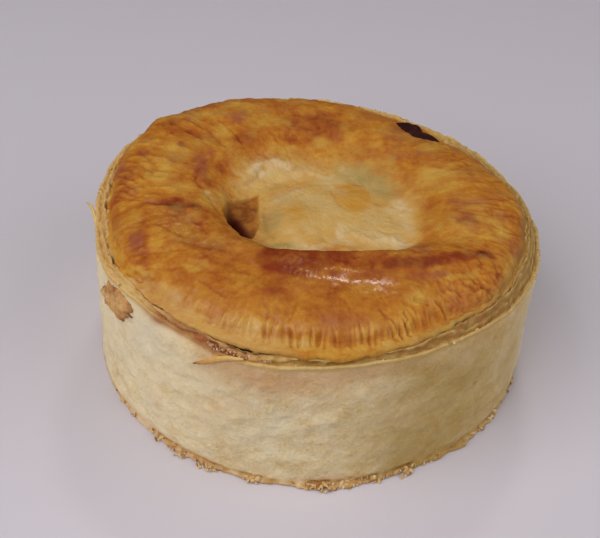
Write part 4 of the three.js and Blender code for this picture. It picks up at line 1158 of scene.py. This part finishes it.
lump = dict(
    points=72,
    # from the hidden foot to the top: share of the outline, share of the thickness
    profile=[(0.4, -0.5), (0.85, -0.45), (1.0, -0.1), (0.98, 0.25), (0.92, 0.5), (0.82, 0.72), (0.68, 0.86),
             (0.5, 0.95), (0.32, 1.0), (0.15, 1.0)],
)
flake = dict(steps=30, sides=10)


# a lump that lies on a surface: the place function takes two lengths along the surface and a lift off it
def makeLump(name, s, place):
    around = np.arange(lump["points"]) * fullTurn / lump["points"]
    reach = tour(around, s["outline"]) * (1 + s["raggedness"] * edgeLumps(around, 9, s["seed"], 3))
    rings, shades = [], []
    for share, lift in lump["profile"]:
        u, v = share * reach * np.cos(around), share * reach * np.sin(around)
        spot = np.stack([u, v, 0 * u], -1)
        rough = s["roughness"] * roughLumps(spot, s["grain"], s["seed"] + 1)
        rings.append(place(u, v, s["thickness"] * lift + rough * (lift > 0)))
        shades.append(0.5 + 0.5 * roughLumps(spot, s["grain"], s["seed"] + 2) - 0.4 * share ** 4)
    ends = [lump["profile"][0][1], lump["profile"][-1][1]]
    poles = [place(np.zeros(1), np.zeros(1), np.full(1, s["thickness"] * lift))[0] for lift in ends]
    vertices, faces = skinRings(rings, tuple(poles[0]), tuple(poles[1]))
    shade = np.append(limit(np.concatenate(shades)), [0.5, 0.5])
    return addPiece(name, vertices, faces, plainCrust(s["look"]), {"shade": shade})


# a thin flake along a path: points as angle in degrees, height and radius, with half heights
def makeFlake(name, s):
    path = np.array(s["path"])
    knots = range(len(path))
    steps = np.linspace(0, len(path) - 1, flake["steps"])
    angle, height, radius = (np.interp(steps, knots, path[:, k]) for k in range(3))
    half = np.interp(steps, knots, s["halfHeights"])
    angle = angle * degree
    middle = ringOf(angle, radius, height)
    outward = ringOf(angle, 1, 0)
    along = np.gradient(middle, axis=0)
    along /= np.linalg.norm(along, axis=-1, keepdims=True)
    across = np.cross(outward, along)
    place = np.stack([steps * 1.3, 0 * steps, 0 * steps], -1)
    tall = half * (1 + s["raggedness"] * roughLumps(place, 1.0, s["seed"]))
    thick = s["thickness"] * np.minimum(1, 2 * half)
    turns = np.arange(flake["sides"]) * fullTurn / flake["sides"]
    rings = [m + np.outer(np.cos(turns) * h, c) + np.outer(np.sin(turns) * t, o)
             for m, h, t, c, o in zip(middle, tall, thick, across, outward)]
    vertices, faces = skinRings(rings, tuple(middle[0]), tuple(middle[-1]))
    shade = np.append(np.repeat(np.linspace(0, 1, len(rings)), flake["sides"]), [0, 1])
    return addPiece(name, vertices, faces, plainCrust(s["look"]), {"shade": shade})


burn = dict(
    middle=(24.8, 37.0), turn=-36 * degree, thickness=1.3, roughness=0.3, grain=2.0, seed=201, raggedness=0.1,
    outline=[9.6, 3.0, 2.6, 2.9, 3.6, 4.6, 6.2, 3.0, 2.4, 2.3, 2.6, 4.6],
    look=dict(name="burntGravy", roughness=0.5, specular=0.12,
              stops=[(0.0, (84, 26, 16)), (0.35, (46, 18, 14)), (1.0, (30, 12, 10))]),
)


def onLid(s):
    def place(u, v, lift):
        x = s["middle"][0] + u * math.cos(s["turn"]) - v * math.sin(s["turn"])
        y = s["middle"][1] + u * math.sin(s["turn"]) + v * math.cos(s["turn"])
        return np.stack([x, y, lidGround(np.arctan2(y, x), np.hypot(x, y)) + lift], -1)
    return place


burntGravy = makeLump("burntGravy", burn, onLid(burn))
finishPiece(burntGravy)

scab = dict(
    angle=-146.0 * degree, height=33.0, wallLength=54,  # mm of wall to a radian
    thickness=1.3, roughness=0.9, grain=1.8, seed=211, raggedness=0.3,
    outline=[7.4, 9.6, 6.4, 6.8, 5.2, 3.8, 5.0, 9.4, 4.4, 3.4, 4.2, 6.0],
    look=dict(name="toastedScab", roughness=0.8,
              stops=[(0.0, (150, 94, 52)), (0.4, (204, 150, 84)), (1.0, (240, 206, 146))]),
)


def onWall(s):
    def place(u, v, lift):
        angle = s["angle"] + u / s["wallLength"]
        height = s["height"] + v
        return ringOf(angle, wallRadius(angle, height) + lift, height)
    return place


rimScab = makeLump("rimScab", scab, onWall(scab))
finishPiece(rimScab)

sliver = dict(
    path=[(-116.3, 33.4, 55.6), (-114.5, 34.5, 55.5), (-112, 36.0, 55.4), (-110, 37.4, 55.2),
          (-107.5, 38.5, 55.0), (-104, 39.0, 54.7)],
    halfHeights=[0.12, 0.5, 0.7, 0.75, 0.6, 0.3], thickness=0.35, raggedness=0.25, seed=221,
    look=dict(name="flakedPastry", roughness=0.7, stops=[
        (0.0, (120, 60, 22)), (0.18, (204, 140, 60)), (0.6, (226, 176, 92)), (1.0, (230, 190, 116))]),
)
rimSliver = makeFlake("rimSliver", sliver)
finishPiece(rimSliver)

spike = dict(
    path=[(-174.4, 41.7, 56.4), (-173.2, 41.3, 55.3), (-171.4, 41.0, 54.6), (-168.8, 40.7, 54.2),
          (-165.5, 40.4, 53.9)],
    halfHeights=[0.15, 0.6, 0.95, 0.8, 0.3], thickness=0.4, raggedness=0.4, seed=223,
    look=dict(name="paleFlake", roughness=0.8,
              stops=[(0.0, (196, 160, 96)), (0.5, (226, 192, 116)), (1.0, (232, 198, 126))]),
)
rimSpike = makeFlake("rimSpike", spike)
finishPiece(rimSpike)


# crumbs and flakes: points scattered on a hidden strip, each with a small squashed grain
def scatterTree():
    tree = bpy.data.node_groups.new("scatterGrains", "GeometryNodeTree")
    for name, kind in (("Strip", "Geometry"), ("Density", "Float"), ("Smallest", "Vector"),
                       ("Largest", "Vector"), ("Seed", "Int"), ("Material", "Material")):
        tree.interface.new_socket(name, in_out="INPUT", socket_type="NodeSocket" + kind)
    tree.interface.new_socket("Grains", in_out="OUTPUT", socket_type="NodeSocketGeometry")
    given = tree.nodes.new("NodeGroupInput").outputs

    def chance(kind, **limits):
        inputs = {**limits, "Seed": given["Seed"]}
        return addNode(tree, "FunctionNodeRandomValue", inputs, data_type=kind).outputs

    where = addNode(tree, "GeometryNodeInputNamedAttribute", {"Name": "where"}, data_type="FLOAT")
    density = arithmetic(tree, "MULTIPLY", where.outputs["Attribute"], given["Density"])
    points = addNode(tree, "GeometryNodeDistributePointsOnFaces", {
        "Mesh": given["Strip"], "Density": density, "Seed": given["Seed"]})
    grain = addNode(tree, "GeometryNodeMeshIcoSphere", {"Radius": 1.0, "Subdivisions": 1})
    size = chance("FLOAT_VECTOR", Min=given["Smallest"], Max=given["Largest"])
    turn = chance("FLOAT_VECTOR", Max=(fullTurn, fullTurn, fullTurn))
    grains = addNode(tree, "GeometryNodeInstanceOnPoints", {
        "Points": points.outputs["Points"], "Instance": grain.outputs["Mesh"], "Rotation": turn["Value"],
        "Scale": size["Value"]})
    stored = addNode(tree, "GeometryNodeStoreNamedAttribute", {
        "Geometry": grains.outputs["Instances"], "Name": "shade", "Value": chance("FLOAT")[1]},
        data_type="FLOAT", domain="INSTANCE")
    solid = addNode(tree, "GeometryNodeRealizeInstances", {"Geometry": stored.outputs["Geometry"]})
    dressed = addNode(tree, "GeometryNodeSetMaterial", {
        "Geometry": solid.outputs["Geometry"], "Material": given["Material"]})
    result = tree.nodes.new("NodeGroupOutput")
    tree.links.new(dressed.outputs["Geometry"], result.inputs["Grains"])
    return tree


grainTree = scatterTree()


# the strip's radius and height are functions of the angle and of the two numbers of each row
def scatterGrains(name, s, radius, height, where):
    material = plainCrust(s["look"])
    start, end, count = s["strip"]
    angle = np.linspace(start, end, count) * degree
    rings = [ringOf(angle, radius(angle, across), height(angle, up)) for across, up in s["rows"]]
    faces = [(k * count + i, k * count + i + 1, (k + 1) * count + i + 1, (k + 1) * count + i)
             for k in range(len(rings) - 1) for i in range(count - 1)]
    shares = np.tile(where(angle), len(rings))
    piece = addPiece(name, np.concatenate(rings), faces, material, {"where": shares})
    scatter = piece.modifiers.new("scatter", "NODES")
    scatter.node_group = grainTree
    values = dict(Density=s["density"], Seed=s["seed"], Material=material,
                  Smallest=[v * mm for v in s["smallest"]], Largest=[v * mm for v in s["largest"]])
    for socket in grainTree.interface.items_tree:
        if socket.name in values:
            scatter[socket.identifier] = values[socket.name]
    solid = bpy.data.meshes.new_from_object(piece.evaluated_get(bpy.context.evaluated_depsgraph_get()))
    piece.modifiers.remove(scatter)
    for vertex in solid.vertices:  # nothing lies below the floor
        vertex.co.z = max(vertex.co.z, 0)
    piece.data = solid
    finishPiece(piece)


footCrumbs = dict(
    density=1.3e6, smallest=(0.2, 0.16, 0.08), largest=(1.1, 0.7, 0.3), seed=5, share=0.6,
    strip=(-180, 180, 361), rows=[(0.1, 1.9), (0.6, 0.9), (1.05, 0.35)],  # share of the skirt, height
    look=dict(name="toastedCrumbs", roughness=0.85,
              stops=[(0.0, (168, 118, 62)), (0.3, (216, 176, 110)), (1.0, (240, 216, 164))]),
)


def footRadius(angle, outward):
    return tour(angle, rimTour) - tour(angle, case["footInset"]) + outward * places(angle, case["skirt"])


scatterGrains("footCrumbs", footCrumbs, footRadius, lambda angle, up: up,
              lambda angle: limit(footCrumbs["share"] * places(angle, case["skirt"])))

seamCrumbs = dict(
    density=7e6, smallest=(0.12, 0.1, 0.08), largest=(0.45, 0.36, 0.28), seed=9, fade=3,
    strip=(-115, -96, 40), rows=[(0.5, 39.0), (1.0, 39.6), (1.6, 39.7)],  # inset, height
    look=dict(name="seamCrumb", roughness=0.85,
              stops=[(0.0, (146, 88, 56)), (0.6, (202, 150, 108)), (1.0, (232, 200, 164))]),
)


def seamShare(angle):
    start, end, _ = seamCrumbs["strip"]
    return window(angle / degree, start, seamCrumbs["fade"], end, seamCrumbs["fade"])


scatterGrains("seamCrumbs", seamCrumbs, lambda angle, inset: tour(angle, rimTour) - inset,
              lambda angle, up: up, seamShare)

lipFlakes = dict(
    density=1.8e6, smallest=(0.15, 0.12, 0.04), largest=(0.7, 0.45, 0.12), seed=13, share=0.2, uneven=0.9,
    strip=(-180, 180, 361), rows=[(0.0, 0.35), (0.35, 0.0), (0.8, 0.1)],  # inset, drop
    look=dict(name="paleCrumb", roughness=0.85,
              stops=[(0.0, (190, 148, 80)), (0.5, (216, 178, 108)), (1.0, (232, 204, 146))]),
)
scatterGrains("lipFlakes", lipFlakes, lambda angle, inset: lipRadius(angle) - inset,
              lambda angle, drop: tour(angle, case["lipTop"]) - drop,
              lambda angle: limit(lipFlakes["share"] + lipFlakes["uneven"] * edgeLumps(angle, 4, 231)))
